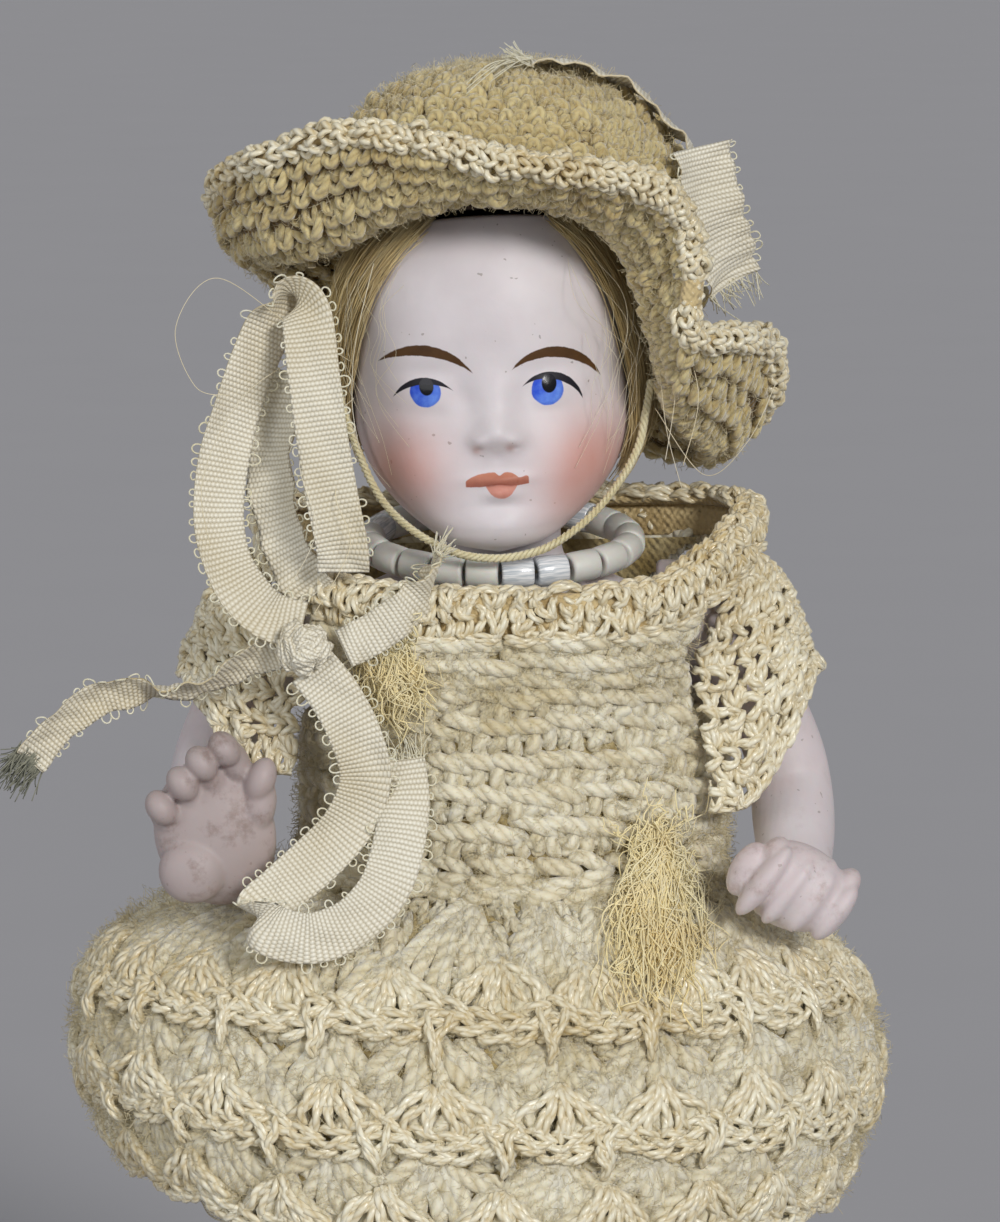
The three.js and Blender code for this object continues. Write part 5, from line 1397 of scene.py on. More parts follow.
def make_hat():
    crown, brim, ring, out = hat_surfaces()
    wool = yarn_material("hat_wool", (230, 213, 160), (148, 118, 54), 3, 1.1, 0.1, 0.95, 0.6, 0.12)
    yarn = Strands()
    rows = levels(crown, round(crown.drop(0.0) / HAT_ROW))
    rows[0] = 0.008
    work_hat(yarn, crown, rows, 0.1)
    yarn.lay("hat_crochet_crown", wool, "hat", slot="wool")
    top_side, under = Strands(), Strands()
    work_hat(top_side, brim, levels(brim, 7), 0.25)
    work_hat(under, brim, levels(brim, 7), 0.35, side=-1)
    top_side.lay("hat_crochet_top", wool, "hat", slot="wool")
    under.lay("hat_crochet_under", wool, "hat", slot="wool")
    # The sheets under the hat's stitches are dark: painted shade seen between them.
    shade_backing = cloth_material("hat_shadow", (140, 114, 64), (96, 74, 38), 0.9, 0.25)
    fasten(backing("hat_crown_shade_sheet", crown, shade_backing, (0.0, -0.6), 160, 40), "hat", slot="wool")
    fasten(backing("hat_brim_shade_sheet", brim, shade_backing, (0.35, -0.35), 200, 14), "hat", slot="wool")
    make_hat_edging(ring, out)
    make_hat_fuzz(crown, brim)


def make_hat_edging(ring, out):
    """Silk worked over the brim's lip in rows of small tight loops."""
    along = unit(np.roll(ring, -1, axis=0) - np.roll(ring, 1, axis=0))
    up = unit(np.cross(out, along))
    up *= np.sign(up[:, 2:] + 1e-6)
    turn = np.radians(np.linspace(150, -150, 15))[:, None, None]
    roll = ring + HAT_EDGING_ROLL * (np.cos(turn) * out + np.sin(turn) * up)
    surface = Surface(roll)
    silk = silk_material()
    edge = Strands()
    knots = in_one_yarn(CHAIN_STITCH, 0.31)
    count = int(surface.girth(0.5) / 1.15)
    for row in range(4):
        top = 0.02 + 0.24 * row
        crochet(edge, surface, count, top, top + 0.25, knots, steps=8, sides=5, offset=0.4 * row, lift=0.12,
                jitter=0.13)
    edge.lay("hat_edging_silk", silk, "hat_edging", slot="silk")
    # The core under the edging's loops is dark: painted shade seen between them.
    shade_core = backing("hat_edging_shade_core", surface, silk_shade_backing(), (0.1, -0.3), 200, 15)
    fasten(shade_core, "hat_edging", slot="silk")


# The dark sheet under the silk stitches is painted shade that shows in the gaps between them.
def silk_shade_backing():
    return cloth_material("silk_shadow", (214, 192, 142), (170, 144, 94), 0.8, 0.2, 0.6)


def fibre_material(name):
    return strand_material(name, ((242, 234, 206), (226, 212, 170), (206, 188, 140)), 0.8)


def make_hat_fuzz(crown, brim):
    hairs = Strands()
    for surface, count, side in ((crown, 5500, 1), (brim, 2500, 1), (brim, 6500, -1)):
        fuzz(hairs, surface, count, 0.5, 1.0, 0.03, side)
    hairs.lay("hat_fuzz", fibre_material("hat_fibre"), slot="wool")


# Ribbons: a flat band along stations [x, y, z, across x, across y, across z]
RIBBON_WIDTH = 4.3
RIBBON_THICKNESS = 0.16
PICOT_PITCH = 1.3
PICOT_RADIUS = 0.42
PICOT_THREAD = 0.075
PICOTS_LEFT = 0.82  # share of the loops that haven't worn away
FRAY_THREAD = 0.05
BOW_LOOP = [
    [-16.4, -12.9, 88.6, -0.5, -0.4, -0.8], [-19.6, -12.9, 89.6, -0.6, -0.5, -0.7],
    [-22.2, -12.4, 92.6, -0.9, -0.4, -0.2], [-23.4, -11.4, 97, -0.95, -0.3, 0],
    [-23, -10.2, 102.5, -0.95, -0.3, 0.1], [-21.4, -9.4, 108, -0.9, -0.35, 0.25],
    [-19.4, -9.2, 112.9, -0.8, -0.5, 0.3], [-17.6, -9.9, 115.9, 0.1, -0.95, 0.3],
    [-16.1, -11.6, 114.5, 0.9, -0.1, 0.2], [-15.4, -13.2, 109.6, 0.98, 0, 0.15],
    [-14.7, -14, 104.4, 0.98, 0, 0.17], [-13.9, -14.4, 99.6, 0.97, 0, 0.22],
    [-13.1, -14.5, 95.6, 0.96, 0, 0.25], [-13, -13.9, 93.2, 0.95, 0, 0.2],
]
INNER_LOOP = [
    [-18.2, -7.4, 109.4, 0.8, -0.5, 0.3], [-18.6, -8.0, 105.9, 0.85, -0.5, 0.1],
    [-19.1, -9.2, 101.5, 0.85, -0.5, 0], [-18.4, -10.2, 97, 0.85, -0.5, 0.2],
    [-17.0, -11, 93.4, 0.85, -0.4, 0.35], [-15.4, -11.4, 91, 0.8, -0.2, 0.5],
]
CROSSING = [
    [-5.3, -13.2, 94.2, 0.4, 0, 0.9], [-6.4, -14.6, 91.4, 0.35, 0, 0.93],
    [-9.6, -15.2, 88.8, 0.45, 0.1, 0.88], [-13, -15.3, 87, 0.35, 0.2, 0.92],
]
LONG_TAIL = [
    [-15.6, -14.6, 85.4, 0.75, 0, 0.65], [-13.6, -14.8, 82.8, 0.88, 0, 0.45],
    [-11.9, -14.9, 79.4, 0.96, 0, 0.25], [-11.2, -14.9, 75.8, 0.99, 0, -0.05],
    [-12.6, -14.9, 72.2, 0.85, 0, -0.5], [-15.4, -15.3, 69.2, 0.7, 0, -0.7],
    [-18.2, -16.1, 66.8, 0.6, 0, -0.8], [-19.9, -17.4, 65.1, 0.3, -0.6, -0.7],
    [-18.9, -18.8, 63.9, -0.3, -0.3, -0.9], [-15.6, -18.6, 63.2, -0.15, 0, -1],
    [-12.2, -18.2, 64.4, 0.3, 0, -0.95], [-9.6, -17.4, 67.2, 0.8, 0, -0.6],
    [-8.4, -16, 70.8, 0.97, 0, -0.2], [-8, -14.6, 74, 1, 0, 0], [-8.4, -13.7, 77.4, 1, 0, 0],
]
LEFT_TAIL = [
    [-18.6, -12.9, 86.6, 0.4, -0.2, 0.9], [-21.6, -12.3, 85.2, 0.3, -0.5, 0.8],
    [-24.6, -11.9, 83.6, 0.2, -0.8, 0.5], [-27.4, -11.8, 83.0, 0.1, -0.9, 0.4],
    [-30.4, -11.9, 83.1, 0.1, -0.6, 0.8], [-33.8, -12.1, 82.2, 0.3, -0.2, 0.9],
    [-36.8, -12.4, 80, 0.6, 0, 0.8], [-39.4, -12.6, 77.2, 0.6, 0, 0.8],
]
KNOT_CENTER = np.array([-16.3, -15.2, 87.0])
KNOT_RADII = [1.9, 1.3]
KNOT_TURNS = [(20, 0.0), (-35, 0.5), (70, -0.4)]  # each wrap's lean in degrees, and its shift
PULLED_THREADS = 14
HAT_BAND = [
    [2.4, -3.6, 135.0, 0.1, -0.95, 0.1], [6.4, -3.2, 134.6, 0.15, -0.95, 0.12],
    [10.6, -2.8, 133.0, 0.15, -0.95, 0.1], [14.0, -2.4, 130.0, 0.1, -0.98, 0],
    [16.2, -2.0, 127.3, 0.05, -1, 0],
]
HAT_FOLD_WIDTH = 5.6
HAT_FOLD = [
    [16.6, -5.2, 127.9, 0.84, 0.54, 0], [17.3, -5.3, 124.6, 0.84, 0.54, 0],
    [18.1, -5.1, 121.0, 0.84, 0.5, 0.1], [18.9, -4.4, 118.4, 0.8, 0.6, 0.1],
    [19.4, -3.6, 116.2, 0.7, 0.7, 0.1],
]


def ribbon_grid(stations, width, curl=0.0):
    """Rows of points across the ribbon, and its normals."""
    steps = 10 * (len(stations) - 1) + 1
    path = smooth_path(stations, steps)
    middle, across = path[:, :3], unit(path[:, 3:])
    along = unit(np.gradient(middle, axis=0))
    across = unit(across - along * np.sum(across * along, axis=1, keepdims=True))
    normal = np.cross(along, across)
    x = np.linspace(-0.5, 0.5, 15)
    s = np.linspace(0, 1, steps)[:, None]
    cup = curl * (x**2 - 0.08) * 4
    ripple = 0.26 * np.sin(33 * s + 4 * x) * (np.abs(x) * 2) ** 2 + 0.16 * np.sin(19 * s + 3 * x)
    ripple = ripple + 0.07 * np.sin(71 * s - 9 * x)
    points = middle[:, None] + across[:, None] * (x * width)[:, None]
    return points + normal[:, None] * (cup + ripple)[..., None], normal


def ribbon(name, stations, node, width=RIBBON_WIDTH, curl=0.25, frayed=(False, False), picots=True):
    """A band of ribbon with its picots, and fray at the ends that are named True."""
    points, normal = ribbon_grid(stations, width, curl)
    half = normal[:, None] * RIBBON_THICKNESS / 2
    band = slab(name, [points + half, points - half], RIBBON_FINISH["silk"], False)
    fasten(band, node, slot="ribbon")
    threads = Strands()
    if picots:
        for edge, direction in ((0, -1), (-1, 1)):
            add_picots(threads, points[:, edge], points[:, edge] - points[:, edge + direction * -1], normal)
    for end, wanted in zip((0, -1), frayed):
        if wanted:
            add_fray(threads, points[end], points[end] - points[end + (1 if end == 0 else -1)], normal[end])
    if threads.total:
        threads.lay(f"{name}_threads", RIBBON_FINISH["thread"], node, slot="ribbon")


def add_picots(strands, edge, outward, normal):
    """A row of small thread loops that stand off the ribbon's edge."""
    length = lengths_along(edge)
    starts = np.arange(0.5, length[-1] - PICOT_PITCH, PICOT_PITCH)
    starts = starts + chance.normal(0, 0.14, len(starts))
    starts = starts[chance.random(len(starts)) < PICOTS_LEFT]
    turn = np.linspace(-0.25 * math.pi, 1.25 * math.pi, 11)
    size = PICOT_RADIUS * chance.uniform(0.45, 1.15, (len(starts), 1))
    at = starts[:, None] + size * np.cos(turn)
    off = size * (0.55 + np.sin(turn) * chance.uniform(0.6, 1.4, (len(starts), 1)))
    base = np.stack([np.interp(at, length, edge[:, k]) for k in range(3)], -1)
    out = unit(np.stack([np.interp(at, length, unit(outward)[:, k]) for k in range(3)], -1))
    face = np.stack([np.interp(at, length, normal[:, k]) for k in range(3)], -1)
    lean = chance.normal(0, 0.3, (len(starts), 1, 1))
    strands.add(base + (out + face * lean) * off[..., None], face, PICOT_THREAD, 5)


def add_fray(strands, edge, outward, normal, count=46, length=2.4):
    t = chance.random(count) * (len(edge) - 1)
    k = np.minimum(t.astype(int), len(edge) - 2)
    start = edge[k] + (edge[k + 1] - edge[k]) * (t - k)[:, None]
    way = unit(unit(outward).mean(0) + chance.normal(0, 0.22, (count, 3)))
    reach = length * chance.uniform(0.25, 1.0, (count, 1))
    bend = chance.normal(0, 0.35, (count, 3))
    s = np.linspace(-0.15, 1, 8)[:, None]
    path = start[:, None] + s * (way * reach)[:, None] + (s**2) * bend[:, None]
    strands.add(path, np.broadcast_to(normal, path.shape), FRAY_THREAD, 4)


RIBBON_FINISH = {}


def make_ribbons():
    RIBBON_FINISH["silk"] = ribbon_material()
    RIBBON_FINISH["thread"] = yarn_material("ribbon_thread", (250, 246, 222), (222, 208, 160),
                                            2, 0.5, 0.02, 0.45, 0.3, 0.01)
    ribbon("bow_loop_ribbon", BOW_LOOP, "ribbon_bow_loop")
    ribbon("inner_loop_ribbon", INNER_LOOP, "ribbon_inner_loop", curl=0.5)
    ribbon("crossing_ribbon", CROSSING, "ribbon_crossing", RIBBON_WIDTH * 0.8, curl=0.5,
           frayed=(True, False))
    ribbon("long_tail_ribbon", LONG_TAIL, "ribbon_long_tail", frayed=(False, True))
    ribbon("left_tail_ribbon", LEFT_TAIL, "ribbon_left_tail", RIBBON_WIDTH * 0.7, curl=-0.5)
    make_grey_fray()
    make_knot()
    ribbon("hat_band_ribbon", HAT_BAND, "hat_ribbon_band", frayed=(True, False), picots=False)
    ribbon("hat_fold_ribbon", HAT_FOLD, "hat_ribbon_fold", HAT_FOLD_WIDTH, curl=0.7, frayed=(False, True))
    make_hat_threads()


def make_grey_fray():
    """The left tail's end, worn to soft dark threads."""
    points, normal = ribbon_grid(LEFT_TAIL, RIBBON_WIDTH * 0.7)
    ends = Strands()
    for back, count in ((3, 40), (1, 90)):
        add_fray(ends, points[-back], points[-back] - points[-back - 3], normal[-back], count, 3.4)
    finish = strand_material("worn_thread", ((176, 174, 152), (110, 112, 98), (70, 74, 66)), 0.7)
    ends.lay("left_tail_fray", finish, "ribbon_left_tail", slot="ribbon")


def make_knot():
    """Ribbon wound tightly over itself where the bow is tied."""
    for k, (turn, shift) in enumerate(KNOT_TURNS):
        a = math.radians(turn)
        stations = []
        for degrees in range(-110, 111, 22):
            b = math.radians(degrees)
            x, y = KNOT_RADII[0] * math.sin(b), -KNOT_RADII[1] * math.cos(b) * (0.8 + 0.12 * k)
            turned = [x * math.cos(a) - shift * math.sin(a), y, x * math.sin(a) + shift * math.cos(a)]
            side = [-math.sin(a), -0.1 * k, math.cos(a)]
            stations.append(list(KNOT_CENTER + turned) + side)
        ribbon(f"knot_ribbon_{k}", stations, "ribbon_knot", 2.8 - 0.4 * k, curl=-0.5, picots=False)


def make_hat_threads():
    """Long threads pulled out of the hat ribbon's end."""
    pulled = Strands()
    for k in range(PULLED_THREADS):
        across = k / (PULLED_THREADS - 1)
        start = np.array([2.6 + 0.25 * chance.random(), -5.2 + 3.4 * across, 135.2])
        length = chance.uniform(0.5, 1.0)
        end = start + np.array([-8.2, -4.6, -4.6]) * length + chance.normal(0, 0.45, 3)
        middle = (start + end) / 2 + [0, -0.4, 1.3 * length] + chance.normal(0, 0.2, 3)
        route = [start, (start + middle) / 2 + [0, 0, 0.25], middle, end]
        pulled.draw(route, 24, [0.0, -0.4, 1.0], FRAY_THREAD, 4)
    pulled.lay("hat_band_threads", RIBBON_FINISH["thread"], "hat_ribbon_band", slot="ribbon")


def twisted(strands, route, radius, count, pitch, thread, steps=220, sides=6, closed=False):
    """Threads wound round a route to make a cord."""
    path = smooth_path(route, steps, closed)
    side, up = axes_across(path, [0.2, 0.3, 1.0])
    length = lengths_along(path)
    for k in range(count):
        turn = (length / pitch + k / count)[:, None] * TAU
        out = np.cos(turn) * side + np.sin(turn) * up
        strands.add((path + radius * out)[None], out[None], thread, sides)


CHIN_CORD = [
    [12.7, -4.6, 108.2], [12.2, -5.2, 105.4], [11.6, -6.2, 102.8], [10.1, -7.8, 100.2], [7.6, -9.8, 97.4],
    [4.6, -11.4, 95.3], [2.0, -11.9, 94.4], [-0.8, -11.9, 94.1], [-3.9, -11.6, 94.6],
    [-7.3, -10.6, 96.3], [-10.0, -8.8, 98.8], [-11.9, -7.2, 102.6], [-13.4, -5.8, 107], [-14.3, -4.4, 111.2],
]


def make_chin_cord():
    cord = Strands()
    twisted(cord, CHIN_CORD, 0.19, 3, 1.5, 0.2)
    finish = yarn_material("cord_silk", (240, 230, 192), (200, 182, 128), 2, 0.6, 0.03, 0.5, 0.3, 0.02)
    cord.lay("chin_cord_silk", finish, "chin_cord", slot="silk")


# Necklace: tube beads round the throat on one thread
BEAD_RADIUS = 1.3
BEAD_LENGTH = 2.72
BEAD_HOLE_RADIUS = 0.5
BEAD_EDGE = 0.22  # the rounding at each end
BEAD_SIDES = 32
BEAD_COUNT = 22
SATIN_BEADS = (0, 1, 8, 15)
NECKLACE_HALF_WIDTH = 11.0
NECKLACE_HALF_DEPTH = 9.0
NECKLACE_FRONT_Z = 92.5
NECKLACE_RISE = 3.1


def necklace_path(count):
    turn = np.linspace(0, TAU, 721)
    points = np.stack([NECKLACE_HALF_WIDTH * np.sin(turn), -NECKLACE_HALF_DEPTH * np.cos(turn) - 0.2,
                       NECKLACE_FRONT_Z + NECKLACE_RISE * (1 - np.cos(turn)) / 2], -1)
    length = lengths_along(points)
    at = np.asarray(count) * length[-1]
    return np.stack([np.interp(at, length, points[:, k]) for k in range(3)], -1)


def frosted_glass():
    s = Shader("frosted_glass")
    cloud = s.noise(700, 3)
    color = s.mix(cloud, (250, 250, 244), (230, 230, 222))
    return s.finish(Base_Color=color, Roughness=0.3 + cloud * 0.2, Transmission_Weight=0.18, IOR=1.5,
                    Subsurface_Weight=0.25, Subsurface_Scale=0.5 * MM,
                    Normal=s.bump(s.noise(3000, 2), 0.01 * MM))


def satin_glass():
    """Fine white fibres run the length of the bead under a glossy skin."""
    s = Shader("satin_glass")
    along, turn = s.uv()
    drawn = s.node("ShaderNodeCombineXYZ", None, {0: turn * 46, 1: along * 0.4, 2: 0.0})
    fibre = s.noise(1.0, 2, 0.6, drawn)
    color = s.mix(fibre.step(0.35, 0.65), (252, 253, 255), (196, 204, 212))
    return s.finish(Base_Color=color, Roughness=0.22, Coat_Weight=0.6, Coat_Roughness=0.08,
                    Normal=s.bump(fibre, 0.02 * MM))


def bead_points(at):
    center = necklace_path(at)
    along = unit(necklace_path(at + 0.004) - necklace_path(at - 0.004))
    side = unit(np.cross(along, [0, 0, 1]))
    up = np.cross(side, along)
    edge = BEAD_EDGE
    half = BEAD_LENGTH / 2
    outline = [[-half, BEAD_HOLE_RADIUS], [-half, BEAD_RADIUS - edge],
               [-half + edge * 0.3, BEAD_RADIUS - edge * 0.3], [-half + edge, BEAD_RADIUS],
               [0, BEAD_RADIUS * 1.01]]
    outline += [[-x, r] for x, r in outline[-2::-1]]
    outline += [[half * 0.5, BEAD_HOLE_RADIUS], [-half * 0.5, BEAD_HOLE_RADIUS]]
    outline = np.array(outline)
    turn = full_turn(BEAD_SIDES)
    ring = side * np.cos(turn)[:, None] + up * np.sin(turn)[:, None]
    points = center + along * outline[:, :1, None] + outline[:, 1:, None] * ring
    return outline, points


def make_necklace():
    glass, satin = frosted_glass(), satin_glass()
    for k in range(BEAD_COUNT):
        outline, points = bead_points((k + 0.5) / BEAD_COUNT)
        rows, columns = points.shape[:2]
        here = np.arange(rows * columns).reshape(rows, columns)
        below, beside = np.roll(here, -1, axis=0), np.roll(here, -1, axis=1)
        faces = np.stack([here, below, np.roll(below, -1, axis=1), beside], -1).reshape(-1, 4)
        low, high = np.repeat(outline[:, 0], columns), np.repeat(np.roll(outline[:, 0], -1), columns)
        start = np.tile(np.arange(columns) / columns, rows)
        end = start + 1 / columns
        uv = np.stack([low, start, high, start, high, end, low, end], -1)
        name = f"bead_{k + 1:02d}"
        is_satin = k in SATIN_BEADS
        finish = satin if is_satin else glass
        bead = make_object(f"{name}_glass", points.reshape(-1, 3), [faces], finish, [uv])
        fasten(bead, name, slot="satin_bead" if is_satin else "glass_bead")
    thread = Strands()
    twisted(thread, necklace_path(np.arange(64) / 64), 0.08, 2, 0.8, 0.09, 400, 5, closed=True)
    finish = yarn_material("bead_thread", (214, 204, 176), (170, 156, 120), 2, 0.4, 0.02, 0.9, 0.2, 0.02)
    thread.lay("necklace_cotton", finish, "necklace_thread", slot="linen")


# Dress: bodice rows [z, left x, right x, front y, back y], the neckline a loop above them
DRESS_THICKNESS = 2.0
ARMHOLE_RADIUS = 9.4
ARMHOLE_X = 13.2
NECK_BAND_HEIGHT = 3.4
BODICE_ROWS = [
    [66.4, -16.9, 18.9, -13.0, 12.6], [70, -16.8, 19.1, -13.1, 12.8], [76, -16.8, 19.1, -13.1, 12.8],
    [82, -16.6, 18.9, -13.1, 12.4],
]
NECKLINE = [
    [0, -12.5, 89.3], [8, -12.2, 89.4], [13.6, -10.6, 90.2], [17.8, -7.4, 92.4], [20.3, -3, 94.6],
    [20.6, 2.4, 95.4], [17.4, 7.2, 95.4], [9, 10.2, 95], [0, 11, 94.8], [-8, 10.4, 94.6],
    [-15.4, 7.4, 94.8], [-19.2, 2.6, 95.2], [-19, -3, 94.6], [-16.6, -7.4, 92.0], [-12.6, -10.6, 90.0],
    [-7, -12.2, 89.3],
]
DRESS_COLUMNS = 96
BODICE_STITCHES = 38
BODICE_FIBRES = 18000


def skew_ring(row, turn, inset=0.0):
    x, y = skewed(turn, *row[1:], inset)
    return np.stack([x, y, np.full_like(x, row[0])], -1)


def bodice_surface():
    turn = full_turn(DRESS_COLUMNS)
    inset = DRESS_THICKNESS / 2
    rings = [skew_ring(row, turn, inset) for row in BODICE_ROWS]
    top = smooth_path(NECKLINE, DRESS_COLUMNS, closed=True) - [0, 0, NECK_BAND_HEIGHT / 2 + GAP]
    return Surface([top, (rings[-1] + top) / 2] + rings[::-1])


def clear_of_armholes(points):
    x, y, z = np.moveaxis(points, -1, 0)
    return ~((np.abs(x) > ARMHOLE_X) & (y**2 + (z - SHOULDER_Z) ** 2 < (ARMHOLE_RADIUS - 0.3) ** 2))


def make_bodice():
    surface = bodice_surface()
    wool = wool_material("dress_wool")
    yarn = Strands()
    rows = levels(surface, 9)
    for k in range(8):
        crochet(yarn, surface, BODICE_STITCHES, rows[k], rows[k + 1], ROPE_STITCH, steps=9, sides=8,
                offset=0.35 * k, lift=0.15, jitter=0.1, keep=clear_of_armholes)
    crochet(yarn, surface, 36, rows[8], rows[9], in_one_yarn(CHAIN_STITCH, 0.72), sides=8,
            lift=0.35, jitter=0.08)
    yarn.lay("bodice_crochet", wool, "dress_bodice", slot="wool")
    # The sheet under the bodice's stitches is dark: painted shade seen between them.
    shade_sheet = backing("bodice_shade_sheet", surface, wool_shade_backing(), (0.2, -0.9), 240, 60, clear_of_armholes)
    fasten(shade_sheet, "dress_bodice", slot="wool")
    make_armhole_edges(wool)
    make_neck_edging()
    fluff = Strands()
    fuzz(fluff, surface, BODICE_FIBRES, 0.7, 1.3, keep=clear_of_armholes)
    fluff.lay("bodice_fuzz", fibre_material("dress_fibre"), slot="wool")


def make_armhole_edges(wool):
    """A twisted strand of yarn bounds each armhole."""
    bound = Strands()
    outline = bodice_surface()
    u = np.linspace(0, 1, 720, endpoint=False)
    v = np.linspace(0, 1, 160)
    grid = outline.at(u[None, :], v[:, None])
    for side in (-1, 1):
        turn = np.linspace(0, TAU, 72, endpoint=False)
        targets = np.stack([np.cos(turn) * ARMHOLE_RADIUS, SHOULDER_Z + np.sin(turn) * ARMHOLE_RADIUS], -1)
        half = grid[:, (grid[0, :, 0] * side) > 8].reshape(-1, 3)
        half = half[half[:, 0] * side > ARMHOLE_X - 0.6]
        gaps = np.linalg.norm(half[None, :, 1:] - targets[:, None], axis=2)
        near = gaps.min(axis=1) < 0.5
        route = half[gaps.argmin(axis=1)][near]
        order = np.argsort(np.arctan2(route[:, 2] - SHOULDER_Z, route[:, 1] + 1e-6) % TAU)
        cut = route[order]
        jumps = np.linalg.norm(np.roll(cut, -1, axis=0) - cut, axis=1)
        cut = np.roll(cut, -int(jumps.argmax()) - 1, axis=0)
        twisted(bound, cut, 0.42, 2, 3.0, 0.5, 260)
    bound.lay("armhole_binding", wool, "dress_bodice", slot="wool")


NECK_ROLL = ((1.3, -0.9), (1.8, -0.2), (1.75, 0.6), (1.1, 1.0), (0, 0.75), (-1.2, 0.7), (-1.9, 0.6))


def make_neck_edging():
    """Silk rounds at the neck: a rolled chain on top and slanted loops below it."""
    loop = smooth_path(NECKLINE, DRESS_COLUMNS, closed=True)
    out = unit(loop * [0.6, 1.0, 0])
    surface = Surface([loop + out * flare + [0, 0, lift] for lift, flare in NECK_ROLL])
    silk = silk_material()
    yarn = Strands()
    count = int(surface.girth(0.5) / 1.8)
    chain = in_one_yarn(CHAIN_STITCH, 0.38)
    for top, bottom, offset in ((0.0, 0.2, 0.5), (0.14, 0.36, 0.0), (0.86, 1.02, 0.2)):
        crochet(yarn, surface, count, top, bottom, chain, steps=8, sides=5, offset=offset, lift=0.1,
                jitter=0.12, plies=2)
    loops = [
        ([[0.1, -0.1, -0.2], [0.0, 0.35, 0.35], [0.3, 0.8, 0.4], [0.6, 1.08, -0.2]], 0.4),
        ([[0.6, -0.05, -0.2], [0.46, 0.35, 0.4], [0.34, 0.75, 0.45], [0.1, 1.1, -0.2]], 0.38),
        ([[0.75, 0.1, -0.2], [0.9, 0.4, 0.3], [1.05, 0.7, 0.35], [1.2, 1.0, -0.2]], 0.38),
    ]
    for k, (top, bottom) in enumerate(((0.3, 0.52), (0.48, 0.7), (0.66, 0.9))):
        shape = loops if k % 2 else mirrored(loops)
        crochet(yarn, surface, count, top, bottom, shape, steps=8, sides=5, offset=0.4 * k, lift=0.05,
                jitter=0.16, plies=2)
    yarn.lay("neck_edging_silk", silk, "dress_neck_edging", slot="silk")
    # The sheet under the neck edging's loops is dark: painted shade seen between them.
    fasten(backing("neck_edging_shade_sheet", surface, silk_shade_backing(), (0.15, -0.6), 160, 14),
           "dress_neck_edging", slot="silk")


# Sleeves: a cap over each shoulder; rows [z, centre x, half width, half depth]
# from the wire and the arm's inner face
SLEEVE_ROWS = [
    [4.6, 6.3, 1.0, 1.5], [3.4, 6.2, 2.8, 3.3], [1.8, 6.2, 4.0, 4.5], [-0.4, 6.3, 5.0, 5.2],
    [-3.4, 6.5, 5.9, 5.8], [-7, 7.1, 6.2, 6.2], [-10.5, 7.5, 6.0, 6.4], [-14, 7.7, 5.6, 6.4],
    [-16.4, 7.7, 5.4, 6.2],
]
SLEEVE_FRONT_TURN = math.radians(-126)  # the front edge folds in over the chest
SLEEVE_BACK_TURN = math.radians(84)


def sleeve_surface(front, outer, back, mirror):
    t = np.linspace(0, 1, 17)[:, None]
    top_turn = math.radians(-88)
    first = top_turn + (SLEEVE_FRONT_TURN - top_turn) * ease(t, 0.0, 0.45)
    turn = first + (SLEEVE_BACK_TURN - first) * np.linspace(0, 1, 49)
    forward = ease(-turn, math.radians(15), math.radians(105))
    backward = ease(turn, math.radians(20), SLEEVE_BACK_TURN)
    low = outer + (front - outer) * forward + (back - outer) * backward
    top = SLEEVE_ROWS[0][0]
    z = top + (low - top) * t
    center, half, depth = np.moveaxis(profile(SLEEVE_ROWS, z), -1, 0)
    fold = ease(-turn, math.radians(55), math.radians(126))
    x = ARM_INNER_X + center + half * np.cos(turn)
    y = depth * np.sin(np.maximum(turn, -math.pi / 2)) - 2.0 * fold * t
    points = np.stack([x, y, SHOULDER_Z + z], -1)
    if mirror:
        points = points[:, ::-1] * [-1, 1, 1]
    return Surface(points, closed=False)


SLEEVE_POSTS = [
    [[0.0, -0.1, 0.1], [0.12, 0.3, 0.4], [0.4, 0.75, 0.35], [0.5, 1.1, 0.0]],
    [[1.0, -0.1, 0.1], [0.88, 0.3, 0.4], [0.6, 0.75, 0.35], [0.5, 1.1, 0.0]],
    [[0.22, -0.1, 0.2], [0.34, 0.35, 0.55], [0.46, 0.8, 0.5], [0.54, 1.1, 0.1]],
    [[0.78, -0.1, 0.2], [0.66, 0.35, 0.55], [0.54, 0.8, 0.5], [0.46, 1.1, 0.1]],
]
SLEEVE_EDGE = [
    ([[0.0, -0.3, 0.2], [-0.12, 0.6, 0.6], [0.5, 1.2, 0.5], [1.12, 0.6, 0.6], [1.0, -0.3, 0.2]], 0.38),
    ([[0.2, -0.2, 0.5], [0.15, 0.45, 0.9], [0.5, 0.85, 0.8], [0.85, 0.45, 0.9], [0.8, -0.2, 0.5]], 0.34),
    ([[0.5, -0.4, 0.4], [0.46, 0.2, 0.8], [0.5, 0.9, 0.6]], 0.34),
]
SLEEVES = [  # side, lower edge in front, outside and behind, mirrored
    ("left", (-15.6, -5, -11), False),
    ("right", (-12.4, -5.5, -9), True),
]
SLEEVE_TIERS = 6


